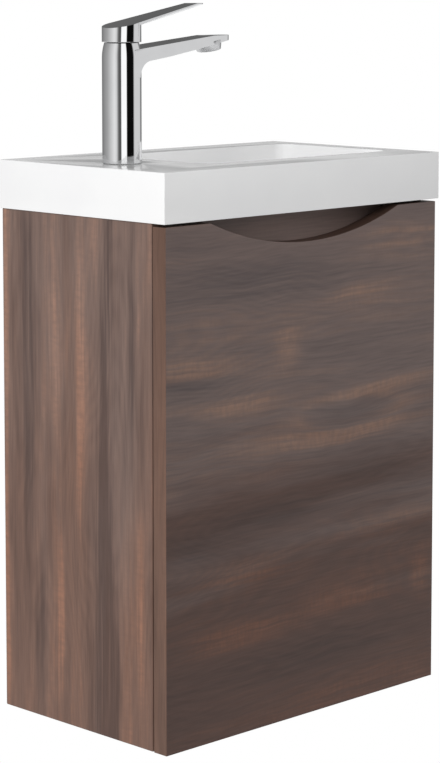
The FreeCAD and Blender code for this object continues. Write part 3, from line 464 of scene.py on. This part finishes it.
# Basin: cast mineral resin with a gloss white gel coat, one slab with a rounded box of a bowl.
# It sits on the carcass, is hollow underneath, and has a hole for the tap and one for the waste.
WALL = 0.012
DECK = 0.012
BOWL_LEFT, BOWL_RIGHT, BOWL_FRONT, BOWL_BACK = 0.111, 0.023, 0.05, 0.038
BOWL_WALL = 0.009
BOWL_DRAFT = 0.25
BOWL_CORNER = 0.0155
FLOOR_ROUND = 0.013
CORNER_STEPS = 14
FLOOR_STEPS = 10
BASIN_EASING = 0.0022
UNDER_SPARE = 0.01
RIM_SPARE = 0.004
UPRIGHT_OVER = 0.01
LEVEL_WITHIN = 0.001
TAP_HOLE = 0.0175
WASTE_HOLE = 0.0225
GEL_DULL, GEL_WHITE = (0.84, 0.84, 0.845), (0.87, 0.87, 0.87)
basin_low, basin_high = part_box("basin")
slab_low = Vector((basin_low.x, basin_low.y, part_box("left_side_panel")[1].z))
deck = basin_high.z
bowl_floor = basin_low.z + BOWL_WALL


def bowl_block(name, low, high, spread):
    """A leaning-walled block with rounded corners, wider than the bowl's rim by a spread."""
    margin = spread + (high - deck) * BOWL_DRAFT
    piece = block(name,
                  (basin_low.x + BOWL_LEFT - margin, basin_low.y + BOWL_FRONT - margin, low),
                  (basin_high.x - BOWL_RIGHT + margin, basin_high.y - BOWL_BACK + margin, high))
    wide = piece.dimensions.copy()
    shrink = 2 * (high - low) * BOWL_DRAFT
    rounds = ((True, BOWL_CORNER + spread, CORNER_STEPS), (False, FLOOR_ROUND + spread, FLOOR_STEPS))
    bpy.ops.object.mode_set(mode="EDIT")
    bpy.ops.mesh.select_mode(type="VERT")
    bpy.ops.mesh.select_all(action="DESELECT")
    bpy.ops.object.mode_set(mode="OBJECT")
    for point in piece.data.vertices:
        point.select = point.co.z < (low + high) / 2
    bpy.ops.object.mode_set(mode="EDIT")
    bpy.ops.transform.resize(value=((wide.x - shrink) / wide.x, (wide.y - shrink) / wide.y, 1))
    for upright, radius, segments in rounds:
        bpy.ops.mesh.select_mode(type="EDGE")
        bpy.ops.mesh.select_all(action="DESELECT")
        bpy.ops.object.mode_set(mode="OBJECT")
        for edge in piece.data.edges:
            ends = [piece.data.vertices[i].co.z for i in edge.vertices]
            rises = max(ends) - min(ends) > UPRIGHT_OVER
            edge.select = rises if upright else max(ends) < low + LEVEL_WITHIN
        bpy.ops.object.mode_set(mode="EDIT")
        bpy.ops.mesh.bevel(offset=radius, segments=segments, affect="EDGES")
    bpy.ops.object.mode_set(mode="OBJECT")
    return piece


seal_low, seal_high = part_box("tap_base_seal")
tap_axis = (seal_low + seal_high) / 2
waste_low, waste_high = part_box("waste_body")
waste_axis = (waste_low + waste_high) / 2
basin = block("basin_slab", slab_low, basin_high)
carve(basin, "DIFFERENCE", block(
    "under_deck", (basin_low.x + WALL, basin_low.y + WALL, slab_low.z - UNDER_SPARE),
    (basin_high.x - WALL, basin_high.y - WALL, deck - DECK)))
carve(basin, "UNION", bowl_block("bowl_outside", basin_low.z, deck - DECK / 2, BOWL_WALL))
carve(basin, "DIFFERENCE", bowl_block("bowl_inside", bowl_floor, deck + RIM_SPARE, 0))
carve(basin, "DIFFERENCE", drill(TAP_HOLE, 4 * DECK, (tap_axis.x, tap_axis.y, deck)))
carve(basin, "DIFFERENCE", drill(WASTE_HOLE, 4 * BOWL_WALL, (waste_axis.x, waste_axis.y, basin_low.z)))
ease(basin, BASIN_EASING, segments=4, degrees=40, smooth=30)
gel_coat, tree, surface = shader("gel_coat_white")
cloud = tree.nodes.new("ShaderNodeTexNoise")
cloud.inputs["Scale"].default_value = 14
cloud.inputs["Detail"].default_value = 3
tree.links.new(tree.nodes.new("ShaderNodeTexCoord").outputs["Object"], cloud.inputs["Vector"])
white = ramp(tree, cloud.outputs["Fac"], (0.3, GEL_DULL), (0.7, GEL_WHITE))
tree.links.new(white, surface.inputs["Base Color"])
tree.links.new(ramp(tree, cloud.outputs["Fac"], (0.3, 0.16), (0.7, 0.1)), surface.inputs["Roughness"])
surface.inputs["Specular IOR Level"].default_value = 0.4
finish(basin, gel_coat, "cabinet", "white_cast", "basin")


# Seals: black rubber rings under the waste flange, under the bowl, in the trap and under the plug.
# The one between the tap and the deck is let into the tap's foot.
SEAL_RADIUS = 0.0188


def turned(name, outline, centre, direction=(0, 0, 1), steps=96, hollow=False, flutes=0):
    """A turned piece: a circle drawn out along its axis through (radius, height) pairs, stood at its place.
    A third number in the outline is how deep grip flutes are cut there."""
    bpy.ops.object.select_all(action="DESELECT")
    radius, height, *_ = outline[0]
    bpy.ops.mesh.primitive_circle_add(vertices=steps, radius=radius, location=(0, 0, height))
    bpy.ops.object.transform_apply(location=True, rotation=True, scale=True)
    piece = bpy.context.object
    piece.name = name
    bpy.ops.object.mode_set(mode="EDIT")
    bpy.ops.mesh.select_mode(type="VERT")
    bpy.ops.mesh.select_all(action="SELECT")
    for next_radius, next_height, *_ in outline[1:]:
        bpy.ops.mesh.extrude_region_move(TRANSFORM_OT_translate={"value": (0, 0, next_height - height)})
        grow = next_radius / radius
        bpy.ops.transform.resize(value=(grow, grow, 1), center_override=(0, 0, next_height))
        radius, height = next_radius, next_height
    bpy.ops.mesh.select_all(action="DESELECT")
    bpy.ops.object.mode_set(mode="OBJECT")
    points = piece.data.vertices
    for number, (radius, _, *depth) in enumerate(outline):
        for point in points[number * steps:(number + 1) * steps] if depth else ():
            wave = 0.5 - 0.5 * math.cos(flutes * math.atan2(point.co.y, point.co.x))
            point.co.xy = point.co.xy * (1 - depth[0] * wave / radius)
    ends = (range(steps), range(len(points) - steps, len(points)))
    for loop in ([[*ends[0], *ends[1]]] if hollow else ends):
        for point in points:
            point.select = point.index in loop
        bpy.ops.object.mode_set(mode="EDIT")
        if hollow:
            bpy.ops.mesh.bridge_edge_loops()
        else:
            bpy.ops.mesh.edge_face_add()
        bpy.ops.mesh.select_all(action="DESELECT")
        bpy.ops.object.mode_set(mode="OBJECT")
    bpy.ops.object.mode_set(mode="EDIT")
    bpy.ops.mesh.select_all(action="SELECT")
    bpy.ops.mesh.normals_make_consistent(inside=False)
    bpy.ops.object.mode_set(mode="OBJECT")
    piece.rotation_mode = "QUATERNION"
    piece.rotation_quaternion = Vector((0, 0, 1)).rotation_difference(Vector(direction))
    piece.location = centre
    bpy.ops.object.transform_apply(location=True, rotation=True, scale=True)
    bpy.ops.object.shade_smooth_by_angle(angle=math.radians(30))
    return piece


rubber = plastic("seal_rubber_black", (0.03, 0.03, 0.03), 0.6, 900, 0.0001)
dress(rubber, "waste_top_seal", "waste_lower_washer", "trap_washer", "trap_cup_seal", "tap_rubber_washer",
      "plug_seal")
outline = [(TAP_HOLE, seal_low.z), (SEAL_RADIUS, seal_low.z),
           (SEAL_RADIUS, seal_high.z), (TAP_HOLE, seal_high.z)]
base_seal = turned("base_seal", outline, (tap_axis.x, tap_axis.y, 0), hollow=True)
finish(base_seal, rubber, "cabinet", "seal_rubber", "tap_base_seal")


# Waste: a chromed brass tube with a flange in the bowl, clamped by a nut under it.
# Inside it a hub on four ribs guides the stem of the push plug.
NUT_EASING = 0.0007
chrome = plated("polished_chrome", (0.86, 0.865, 0.875), 0.025, 0.05, 60)
dress(chrome, "waste_body")
softened("waste_nut", "waste_backnut", chrome, "cabinet", "tap_chrome", NUT_EASING)


# Push plug: a chromed brass cap on a stem, turned and polished, with a low dome and a bevelled rim.
# The stem slides in the hub of the waste, so that a push on the cap moves it down.
PLUG_RIM = 0.0012
PLUG_LIP = (0.0003, 0.0004)
PLUG_CROWN = 0.0016
CROWN_TURN = 8
CROWN_STEPS = 10
STEM_RADIUS = 0.005
STEM_EASING = 0.0006
plug_low, plug_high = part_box("waste_plug")
plug_radius = (plug_high.x - plug_low.x) / 2
cap_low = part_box("plug_seal")[1].z
rise = plug_high.z - cap_low
stem_foot = plug_low.z - cap_low
crown = [(plug_radius * math.cos(turn), rise - PLUG_CROWN + PLUG_CROWN * math.sin(turn))
         for turn in (math.radians(CROWN_TURN * step) for step in range(1, CROWN_STEPS + 1))]
outline = [(STEM_RADIUS - STEM_EASING, stem_foot), (STEM_RADIUS, stem_foot + STEM_EASING), (STEM_RADIUS, 0),
           (plug_radius - PLUG_RIM, 0), (plug_radius - PLUG_LIP[0], PLUG_LIP[1]), (plug_radius, PLUG_RIM),
           (plug_radius, rise - PLUG_CROWN), *crown]
plug = turned("push_plug", outline, (waste_axis.x, waste_axis.y, cap_low))
finish(plug, chrome, "plug", "tap_chrome", "waste_plug")


# Bottle trap: white polypropylene mouldings with rounded shoulders.
# Two fluted nuts, tightened by hand, hold it on the waste and on the pipe to the wall.
# The cup below unscrews to be emptied.
TAIL_RADIUS = 0.0209
TUBE_RADIUS = 0.017
PIPE_SOCKET = 0.0161
TRAP_WALL = 0.002
BRANCH_WALL = 0.0025
HEAD_HEIGHT = 0.044
HEAD_ROUND = 0.008
CUP_ROUND = 0.009
COLLAR_HEIGHT = 0.004
NUT_LIP = 0.004
FLUTE_DEPTH = 0.0011
FLUTE_EDGE = 0.0016
NUT_FLUTES = 24
FLUTE_STEPS = 8
HEAD_STEPS = 128
PIPE_EASING = 0.0005
white_plastic = plastic("polypropylene_white", (0.8, 0.8, 0.78), 0.42, 320, 0.0002)
softened("trap_pipe", "trap_outlet_pipe", white_plastic, "cabinet", "trap_plastic", PIPE_EASING)


def rounding(radius, height, size, first, steps=8):
    """A quarter round of an outline about (radius, height), starting at an angle in degrees."""
    turns = [math.radians(first + 90 * step / steps) for step in range(steps + 1)]
    return [(radius + size * math.cos(turn), height + size * math.sin(turn)) for turn in turns]


def fluted_wall(radius, low, high):
    """The outer wall of a hand-tight nut or cup, fluted between two plain bands."""
    edge = FLUTE_EDGE
    return [(radius - edge / 2, low), (radius, low + edge / 2), (radius, low + edge),
            (radius, low + 2 * edge, FLUTE_DEPTH), (radius, high - 2 * edge, FLUTE_DEPTH),
            (radius, high - edge), (radius, high - edge / 2), (radius - edge / 2, high)]


def trap_nut(name, node, bore, lip_bore, height, centre, direction):
    """A fluted nut with a lip at its foot, standing along a direction in place of its node."""
    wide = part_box(node)[1].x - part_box(node)[0].x
    outline = [(lip_bore, 0), *fluted_wall(wide / 2, 0, height),
               (bore, height), (bore, NUT_LIP), (lip_bore, NUT_LIP)]
    nut = turned(name, outline, centre, direction, hollow=True,
                 steps=FLUTE_STEPS * NUT_FLUTES, flutes=NUT_FLUTES)
    finish(nut, white_plastic, "cabinet", "trap_plastic", node)


trap_low, trap_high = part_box("trap_body")
head_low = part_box("trap_cup_seal")[1].z
head_high = head_low + HEAD_HEIGHT
head_radius = waste_axis.x - trap_low.x
neck_foot = [(2 * TUBE_RADIUS + HEAD_ROUND / 2 - radius, height) for radius, height in
             rounding(TUBE_RADIUS, head_high + HEAD_ROUND / 2, HEAD_ROUND / 2, -90)]
shoulder = rounding(head_radius - HEAD_ROUND, head_high - HEAD_ROUND, HEAD_ROUND, 0)
collar_low = trap_high.z - COLLAR_HEIGHT
outline = [(TUBE_RADIUS - TRAP_WALL, trap_low.z), (TUBE_RADIUS, trap_low.z),
           (TUBE_RADIUS, head_high - TRAP_WALL), (head_radius - HEAD_ROUND, head_high - TRAP_WALL),
           (head_radius - TRAP_WALL, head_high - HEAD_ROUND), (head_radius - TRAP_WALL, head_low),
           (head_radius, head_low), *shoulder, *neck_foot,
           (TUBE_RADIUS, collar_low), (TAIL_RADIUS, collar_low),
           (TAIL_RADIUS, trap_high.z), (TUBE_RADIUS - TRAP_WALL, trap_high.z)]
trap = turned("trap_head_moulding", outline, (waste_axis.x, waste_axis.y, 0), steps=HEAD_STEPS, hollow=True)
branch_up = head_high - HEAD_HEIGHT / 2
branch_reach = trap_high.y - waste_axis.y
branch_radius = PIPE_SOCKET + BRANCH_WALL
outline = [(branch_radius, head_radius - 2 * TRAP_WALL), (branch_radius, branch_reach),
           (PIPE_SOCKET, branch_reach), (PIPE_SOCKET, head_radius - 2 * TRAP_WALL)]
branch_root = (waste_axis.x, waste_axis.y, branch_up)
carve(trap, "UNION", turned("trap_branch", outline, branch_root, (0, 1, 0), hollow=True))
bpy.ops.object.shade_smooth_by_angle(angle=math.radians(30))
finish(trap, white_plastic, "cabinet", "trap_plastic", "trap_body")
cup_low, cup_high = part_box("trap_cup")
cup_bore = head_radius - 2 * TRAP_WALL
cup_side = cup_low.z + CUP_ROUND
outline = [(TRAP_WALL, cup_low.z), *rounding(head_radius - CUP_ROUND, cup_side, CUP_ROUND, -90),
           *fluted_wall(head_radius, cup_side, cup_high.z), (cup_bore, cup_high.z), (cup_bore, cup_side),
           (cup_bore - CUP_ROUND, cup_low.z + TRAP_WALL), (TRAP_WALL, cup_low.z + TRAP_WALL)]
cup = turned("trap_cup_moulding", outline, (waste_axis.x, waste_axis.y, 0),
             steps=FLUTE_STEPS * NUT_FLUTES, flutes=NUT_FLUTES)
finish(cup, white_plastic, "cabinet", "trap_plastic", "trap_cup")
nut_low, nut_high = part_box("trap_inlet_nut")
trap_nut("trap_inlet_nut_moulding", "trap_inlet_nut", TAIL_RADIUS, TUBE_RADIUS, nut_high.z - nut_low.z,
         (waste_axis.x, waste_axis.y, nut_low.z), (0, 0, 1))
nut_low, nut_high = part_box("trap_outlet_nut")
trap_nut("trap_outlet_nut_moulding", "trap_outlet_nut", branch_radius, PIPE_SOCKET, nut_high.y - nut_low.y,
         (waste_axis.x, nut_high.y, branch_up), (0, -1, 0))


# Tap body: brass, cast in one and turned, polished and chromed. It stands on a seal.
# The column has a rounded shoulder under the lever.
# The flat spout is as wide as the column at its root, and narrows and rises to a rounded end.
COLUMN_RADIUS = 0.02
COLUMN_STEPS = 192
FOOT_GAP = 0.0002
FOOT_EASING = 0.0004
SHOULDER_FOOT = 0.106
SHOULDER_TOP = 0.1275
SHOULDER_BEND = 0.05
SHOULDER_STEPS = 12
SPOUT_ROOT = 0.0199
SPOUT_END = 0.0125
SPOUT_REACH = 0.147
SPOUT_TOP = ((0.147, 0.1271), (0.118, 0.1267), (0, 0.1143))
SPOUT_UNDER = ((0.052, 0.1066), (0.089, 0.1124), (0.1455, 0.1222))
WEB_MIDDLE = (0.0247, 0.0865)
WEB_ROUND = 0.0165
WEB_TURN = 82
WEB_STEPS = 10
SPOUT_EASING = 0.0011
SPOUT_BAR_HALF = 0.03
SPOUT_PLAN_LEVELS = (0.05, 0.16)


def drawn(name, *rings):
    """An outline of points drawn out through further outlines of as many points, closed at both ends."""
    bpy.ops.object.select_all(action="DESELECT")
    count = len(rings[0])
    bpy.ops.mesh.primitive_circle_add(vertices=count, radius=1, fill_type="NGON")
    piece = bpy.context.object
    piece.name = name
    for number, ring in enumerate(rings):
        if number:
            bpy.ops.object.mode_set(mode="EDIT")
            bpy.ops.mesh.extrude_region_move(TRANSFORM_OT_translate={"value": (0, 0, 1)})
            bpy.ops.object.mode_set(mode="OBJECT")
        for vertex, point in zip(piece.data.vertices[number * count:], ring):
            vertex.co = point
    bpy.ops.object.mode_set(mode="EDIT")
    bpy.ops.mesh.select_all(action="SELECT")
    bpy.ops.mesh.normals_make_consistent(inside=False)
    bpy.ops.object.mode_set(mode="OBJECT")
    return piece


def side_bar(name, points, half_width):
    """A side outline of the tap, in (out, up) pairs from its axis and the deck, drawn out across it."""
    return drawn(name, *[[(tap_axis.x + out, tap_axis.y + across, deck + up) for out, up in points]
                         for across in (-half_width, half_width)])


def round_ended(root, end, reach, steps=14):
    """A plan of the tap in (out, across) pairs: straight sides from the axis that narrow to a rounded end."""
    lean = math.acos((root - end) / (reach - end))
    turns = [lean * step / steps for step in range(-steps, steps + 1)]
    tip = [(reach - end + end * math.cos(turn), end * math.sin(turn)) for turn in turns]
    return [(0, -root / math.sin(lean)), *tip, (0, root / math.sin(lean))]


foot = deck + FOOT_GAP
outline = [(COLUMN_RADIUS - FOOT_EASING, foot), (COLUMN_RADIUS, foot + FOOT_EASING)]
for step in range(SHOULDER_STEPS + 1):
    up = SHOULDER_FOOT + (SHOULDER_TOP - SHOULDER_FOOT) * step / SHOULDER_STEPS
    outline.append((COLUMN_RADIUS - (up - SHOULDER_FOOT) ** 2 / (2 * SHOULDER_BEND), deck + up))
tap = turned("tap_column_and_spout", outline, (tap_axis.x, tap_axis.y, 0), steps=COLUMN_STEPS)
web = []
for step in range(WEB_STEPS + 1):
    turn = math.radians(180 - WEB_TURN * step / WEB_STEPS)
    web.append((WEB_MIDDLE[0] + WEB_ROUND * math.cos(turn), WEB_MIDDLE[1] + WEB_ROUND * math.sin(turn)))
spout = side_bar("spout", [(0, WEB_MIDDLE[1]), *web, *SPOUT_UNDER, *SPOUT_TOP], SPOUT_BAR_HALF)
plan = round_ended(SPOUT_ROOT, SPOUT_END, SPOUT_REACH)
levels = [[(tap_axis.x + out, tap_axis.y + across, deck + up) for out, across in plan]
          for up in SPOUT_PLAN_LEVELS]
carve(spout, "INTERSECT", drawn("spout_plan", *levels))
ease(spout, SPOUT_EASING, degrees=30)
carve(tap, "UNION", spout)
bpy.ops.object.shade_smooth_by_angle(angle=math.radians(30))
finish(tap, chrome, "cabinet", "tap_chrome", "tap_body")


# Aerator: a satin chromed ring that tapers to its lip, turned from brass.
# It screws up into the end of the spout, square to its underside, and holds a moulded jet insert.
# The cartridge in the tap's column is moulded of the same plastic.
AERATOR_TOP = 0.0143
AERATOR_LIP = 0.0126
AERATOR_BORE = 0.0112
AERATOR_LEAN = 10
AERATOR_RISE = 0.0018
AERATOR_SUNK = 0.0015
AERATOR_EASING = 0.0004
LIP_ROUND_IN = 0.0006
LIP_ROUND_OUT = 0.0005
ring_low, ring_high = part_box("aerator_housing")
ring_axis = (ring_low + ring_high) / 2
ring_height = ring_high.z - ring_low.z - 2 * AERATOR_RISE
ring_top = ring_height + AERATOR_SUNK
outline = [(AERATOR_BORE, LIP_ROUND_IN), (AERATOR_BORE + AERATOR_EASING, 0),
           (AERATOR_LIP - AERATOR_EASING, 0), (AERATOR_LIP, LIP_ROUND_OUT),
           (AERATOR_TOP, ring_height), (AERATOR_TOP, ring_top), (AERATOR_BORE, ring_top)]
lean = math.radians(AERATOR_LEAN)
ring = turned("aerator_ring", outline, (ring_axis.x, ring_axis.y, ring_low.z + AERATOR_RISE),
              (-math.sin(lean), 0, math.cos(lean)), hollow=True)
satin_chrome = plated("satin_chrome", (0.66, 0.665, 0.675), 0.3, 0.4, 300)
finish(ring, satin_chrome, "cabinet", "tap_chrome", "aerator_housing")
dress(white_plastic, "aerator_insert", "cartridge_housing", "cartridge_carrier")


# Tap fixings: a zinc-plated steel stud, a half-round clamp plate and a nut that hold the tap under the deck.
# A turned brass ring holds the cartridge, and a steel stem, pin and grub screw carry the lever.
brass = plated("machined_brass", (0.72, 0.53, 0.27), 0.22, 0.36, 500)
dress(brass, "cartridge_ring")
dress(zinc, "tap_stud", "tap_clamp_plate", "tap_stud_nut",
      "lever_cross_pin", "lever_stem", "lever_grub_screw")


# Lever: a cast, polished and chromed handle with a short skirt over the tap's shoulder.
# Its flat blade rises and narrows to the tip, and its edges are cut back underneath.
# A grub screw holds it on the stem of the cartridge.
SKIRT_LOW = 0.122
SKIRT_INNER = 0.0185
SKIRT_ROOM = 0.012
SKIRT_LIP = 0.003
SKIRT_EDGE = 0.0003
SKIRT_CORE = 0.002
SKIRT_STEPS = 128
BLADE_SEAT = 0.1405
BLADE_SLOPE = 0.203
BLADE_HIGHEST = 0.1602
BLADE_REACH = 0.112
BLADE_HEEL = 0.0197
BLADE_TIP = 0.009
BLADE_THICK = 0.0034
BLADE_UNDERCUT = 0.0009
BLADE_SPARE = 0.01
BLADE_EASING = 0.0005
BLADE_BAR_HALF = 0.04
EASED_ABOVE = 0.0005
skirt_low = deck + SKIRT_LOW
skirt_high = deck + BLADE_HIGHEST + BLADE_SPARE
skirt_roof = skirt_low + SKIRT_ROOM
outline = [(SKIRT_CORE, skirt_roof), (SKIRT_INNER, skirt_roof), (SKIRT_INNER, skirt_low + SKIRT_LIP),
           (COLUMN_RADIUS - SKIRT_EDGE, skirt_low), (COLUMN_RADIUS, skirt_low + SKIRT_EDGE),
           (COLUMN_RADIUS, skirt_high), (SKIRT_CORE, skirt_high)]
lever = turned("lever_handle_cast", outline, (tap_axis.x, tap_axis.y, 0), steps=SKIRT_STEPS)
levels = []
for cut, drop in ((BLADE_UNDERCUT, BLADE_THICK), (0, 0), (0, -BLADE_SPARE)):
    plan = round_ended(BLADE_HEEL - cut, BLADE_TIP - cut, BLADE_REACH - cut)
    levels.append([(tap_axis.x + out, tap_axis.y + across, deck + BLADE_SEAT + BLADE_SLOPE * out - drop)
                   for out, across in plan])
carve(lever, "UNION", drawn("blade", *levels))
level_at = (BLADE_HIGHEST - BLADE_SEAT) / BLADE_SLOPE
back, front = -2 * COLUMN_RADIUS, BLADE_REACH + BLADE_SPARE
over = [(back, BLADE_SEAT + BLADE_SLOPE * back), (level_at, BLADE_HIGHEST), (front, BLADE_HIGHEST),
        (front, BLADE_HIGHEST + 4 * BLADE_SPARE), (back, BLADE_HIGHEST + 4 * BLADE_SPARE)]
carve(lever, "DIFFERENCE", side_bar("over_the_blade", over, BLADE_BAR_HALF))
bpy.ops.object.mode_set(mode="EDIT")
bpy.ops.mesh.select_mode(type="EDGE")
bpy.ops.mesh.select_all(action="DESELECT")
bpy.ops.mesh.edges_select_sharp(sharpness=math.radians(30))
bpy.ops.object.mode_set(mode="OBJECT")
for edge in lever.data.edges:
    lowest = min(lever.data.vertices[i].co.z for i in edge.vertices)
    edge.select = edge.select and lowest > skirt_roof + EASED_ABOVE
bpy.ops.object.mode_set(mode="EDIT")
bpy.ops.mesh.bevel(offset=BLADE_EASING, segments=3, affect="EDGES")
bpy.ops.object.mode_set(mode="OBJECT")
bpy.ops.object.shade_smooth_by_angle(angle=math.radians(30))
finish(lever, chrome, "lever", "tap_chrome", "lever_handle")


# Floor: a round pale sheet on the studio floor, well below the wall-hung unit.
# It takes the soft shadow, and fades at its rim into the white ground.
FLOOR_DROP = 0.32
FLOOR_RADIUS = 0.66
FLOOR_MIDDLE = -0.14
FLOOR_GLOW = 0.3
FLOOR_FADE = 0.3
FLOOR_COLOUR = (0.9, 0.9, 0.9, 1)
bpy.ops.object.select_all(action="DESELECT")
bpy.ops.mesh.primitive_circle_add(vertices=96, radius=FLOOR_RADIUS, fill_type="NGON",
                                  location=(0, FLOOR_MIDDLE, cad_low.z - FLOOR_DROP))
floor = bpy.context.object
floor.name = "floor"
bpy.ops.object.transform_apply(location=True, rotation=True, scale=True)
pale, tree, surface = shader("pale_floor")
surface.inputs["Base Color"].default_value = FLOOR_COLOUR
surface.inputs["Roughness"].default_value = 0.9
surface.inputs["Emission Color"].default_value = (1, 1, 1, 1)
seen = tree.nodes.new("ShaderNodeLightPath").outputs["Is Camera Ray"]
tree.links.new(calc(tree, "MULTIPLY", seen, FLOOR_GLOW), surface.inputs["Emission Strength"])
gap = tree.nodes.new("ShaderNodeVectorMath")
gap.operation = "LENGTH"
shift = tree.nodes.new("ShaderNodeMapping")
shift.inputs["Location"].default_value = (0, -FLOOR_MIDDLE, FLOOR_DROP - cad_low.z)
tree.links.new(tree.nodes.new("ShaderNodeTexCoord").outputs["Object"], shift.inputs["Vector"])
tree.links.new(shift.outputs[0], gap.inputs[0])
clear = tree.nodes.new("ShaderNodeBsdfTransparent")
fade = tree.nodes.new("ShaderNodeMixShader")
rim = ramp(tree, gap.outputs["Value"], (FLOOR_FADE * FLOOR_RADIUS, 0.0), (FLOOR_RADIUS, 1.0))
tree.links.new(rim, fade.inputs[0])
tree.links.new(surface.outputs[0], fade.inputs[1])
tree.links.new(clear.outputs[0], fade.inputs[2])
tree.links.new(fade.outputs[0], tree.nodes["Material Output"].inputs["Surface"])
floor.data.materials.append(pale)


# Screens: a drum of grey and white cloth screens round the studio, set up for polished metal to mirror.
# It lights nothing, throws no shadow and stays out of the picture.
DRUM_RADIUS = 1.6
DRUM_HEIGHT = 3.2
DRUM_TURN = 0.124
TOP_GREY = (0.11, 0.11, 0.11, 1)
BACK_GREY = (0.62, 0.62, 0.62, 1)
LOW_WHITE = (1, 1, 1, 1)
SCREENS = (
    (0.0, 0.12), (0.06, 0.18), (0.1, 0.22), (0.253, 0.42), (0.333, 0.68), (0.386, 0.87), (0.42, 0.75),
    (0.45, 0.2), (0.468, 0.1), (0.492, 0.1), (0.503, 1.15), (0.578, 1.15), (0.59, 0.004), (0.7, 0.004),
    (0.722, 0.71), (0.86, 0.7), (0.885, 0.25), (1.0, 0.12),
)
bpy.ops.object.select_all(action="DESELECT")
bpy.ops.mesh.primitive_cylinder_add(vertices=128, radius=DRUM_RADIUS, depth=DRUM_HEIGHT, end_fill_type="NGON",
                                    location=tap_axis)
drum = bpy.context.object
drum.name = "screen_drum"
screens, tree, surface = shader("grey_screens")
parts = tree.nodes.new("ShaderNodeSeparateXYZ")
tree.links.new(tree.nodes.new("ShaderNodeTexCoord").outputs["Object"], parts.inputs[0])
turn = calc(tree, "ARCTAN2", parts.outputs["X"], parts.outputs["Y"])
turn = calc(tree, "FRACT", calc(tree, "SUBTRACT", DRUM_TURN, calc(tree, "DIVIDE", turn, 2 * math.pi)))
around = ramp(tree, turn, *SCREENS)
height = calc(tree, "MULTIPLY_ADD", parts.outputs["Z"], 1 / DRUM_HEIGHT, 0.5)
colour = blended(tree, "MIX", ramp(tree, height, (0.84, 0.0), (0.88, 1.0)), around, TOP_GREY)
behind = calc(tree, "MULTIPLY", ramp(tree, turn, (0.035, 1.0), (0.06, 0.0), (0.94, 0.0), (0.965, 1.0)),
              ramp(tree, height, (0.55, 1.0), (0.565, 0.0)))
colour = blended(tree, "MIX", behind, colour, BACK_GREY)
colour = blended(tree, "MIX", ramp(tree, height, (0.38, 1.0), (0.42, 0.0)), colour, LOW_WHITE)
glow = tree.nodes.new("ShaderNodeEmission")
tree.links.new(colour, glow.inputs["Color"])
tree.links.new(glow.outputs[0], tree.nodes["Material Output"].inputs["Surface"])
drum.data.materials.append(screens)
drum.visible_camera = False
drum.visible_diffuse = False
drum.visible_shadow = False
drum.visible_transmission = False


# Lamps: one large soft lamp from the left and two weak fills, in an even white surround.
# The surround is full white to the camera and in reflections, and dimmer as a light.
SURROUND_LIGHT = 0.38


def lamp(name, place, target, size, watts):
    """A soft square lamp turned to a point."""
    bpy.ops.object.light_add(type="AREA", location=place)
    light = bpy.context.object
    light.name = name
    light.data.size = size
    light.data.energy = watts
    light.rotation_mode = "QUATERNION"
    light.rotation_quaternion = (Vector(target) - Vector(place)).to_track_quat("-Z", "Y")
    light.visible_glossy = False


lamp("key_left", (-5.8, -0.88, 1.75), (-0.2, -0.12, -0.15), 3.2, 292)
lamp("fill_above", (0.1, -1.3, 0.8), (0, -0.24, 0.0), 0.8, 5.4)
lamp("fill_right", (2.6, 0.4, 0.6), (0.2, -0.12, -0.1), 1.4, 24)

world = bpy.context.scene.world or bpy.data.worlds.new("studio")
bpy.context.scene.world = world
world.use_nodes = True
tree = world.node_tree
tree.nodes.clear()
rays = tree.nodes.new("ShaderNodeLightPath")
seen = calc(tree, "MAXIMUM", rays.outputs["Is Camera Ray"],
            calc(tree, "MAXIMUM", rays.outputs["Is Glossy Ray"], rays.outputs["Is Transmission Ray"]))
sky = tree.nodes.new("ShaderNodeBackground")
tree.links.new(calc(tree, "MULTIPLY_ADD", seen, 1 - SURROUND_LIGHT, SURROUND_LIGHT), sky.inputs["Strength"])
sky.inputs["Color"].default_value = (1, 1, 1, 1)
tree.links.new(sky.outputs[0], tree.nodes.new("ShaderNodeOutputWorld").inputs[0])
bpy.context.scene.view_settings.view_transform = "Standard"


# Camera: a long lens near the height of the tap, turned to the left front corner of the unit.
# It looks slightly down, and its frame is shifted to hold the whole unit.
CAMERA_AT = (-1.7982, -1.9318, 0.3159)
CAMERA_YAW = 44.748
CAMERA_PITCH = 5.538
LENS_PIXELS = 2430
IMAGE_HEIGHT = 763
SENSOR_SIZE = 36
FRAME_SHIFT = -0.22
bpy.ops.object.camera_add(location=CAMERA_AT,
                          rotation=(math.radians(90 - CAMERA_PITCH), 0, math.radians(-CAMERA_YAW)))
camera = bpy.context.object
camera.data.sensor_width = SENSOR_SIZE
camera.data.lens = LENS_PIXELS / IMAGE_HEIGHT * SENSOR_SIZE
camera.data.shift_y = FRAME_SHIFT
bpy.context.scene.camera = camera
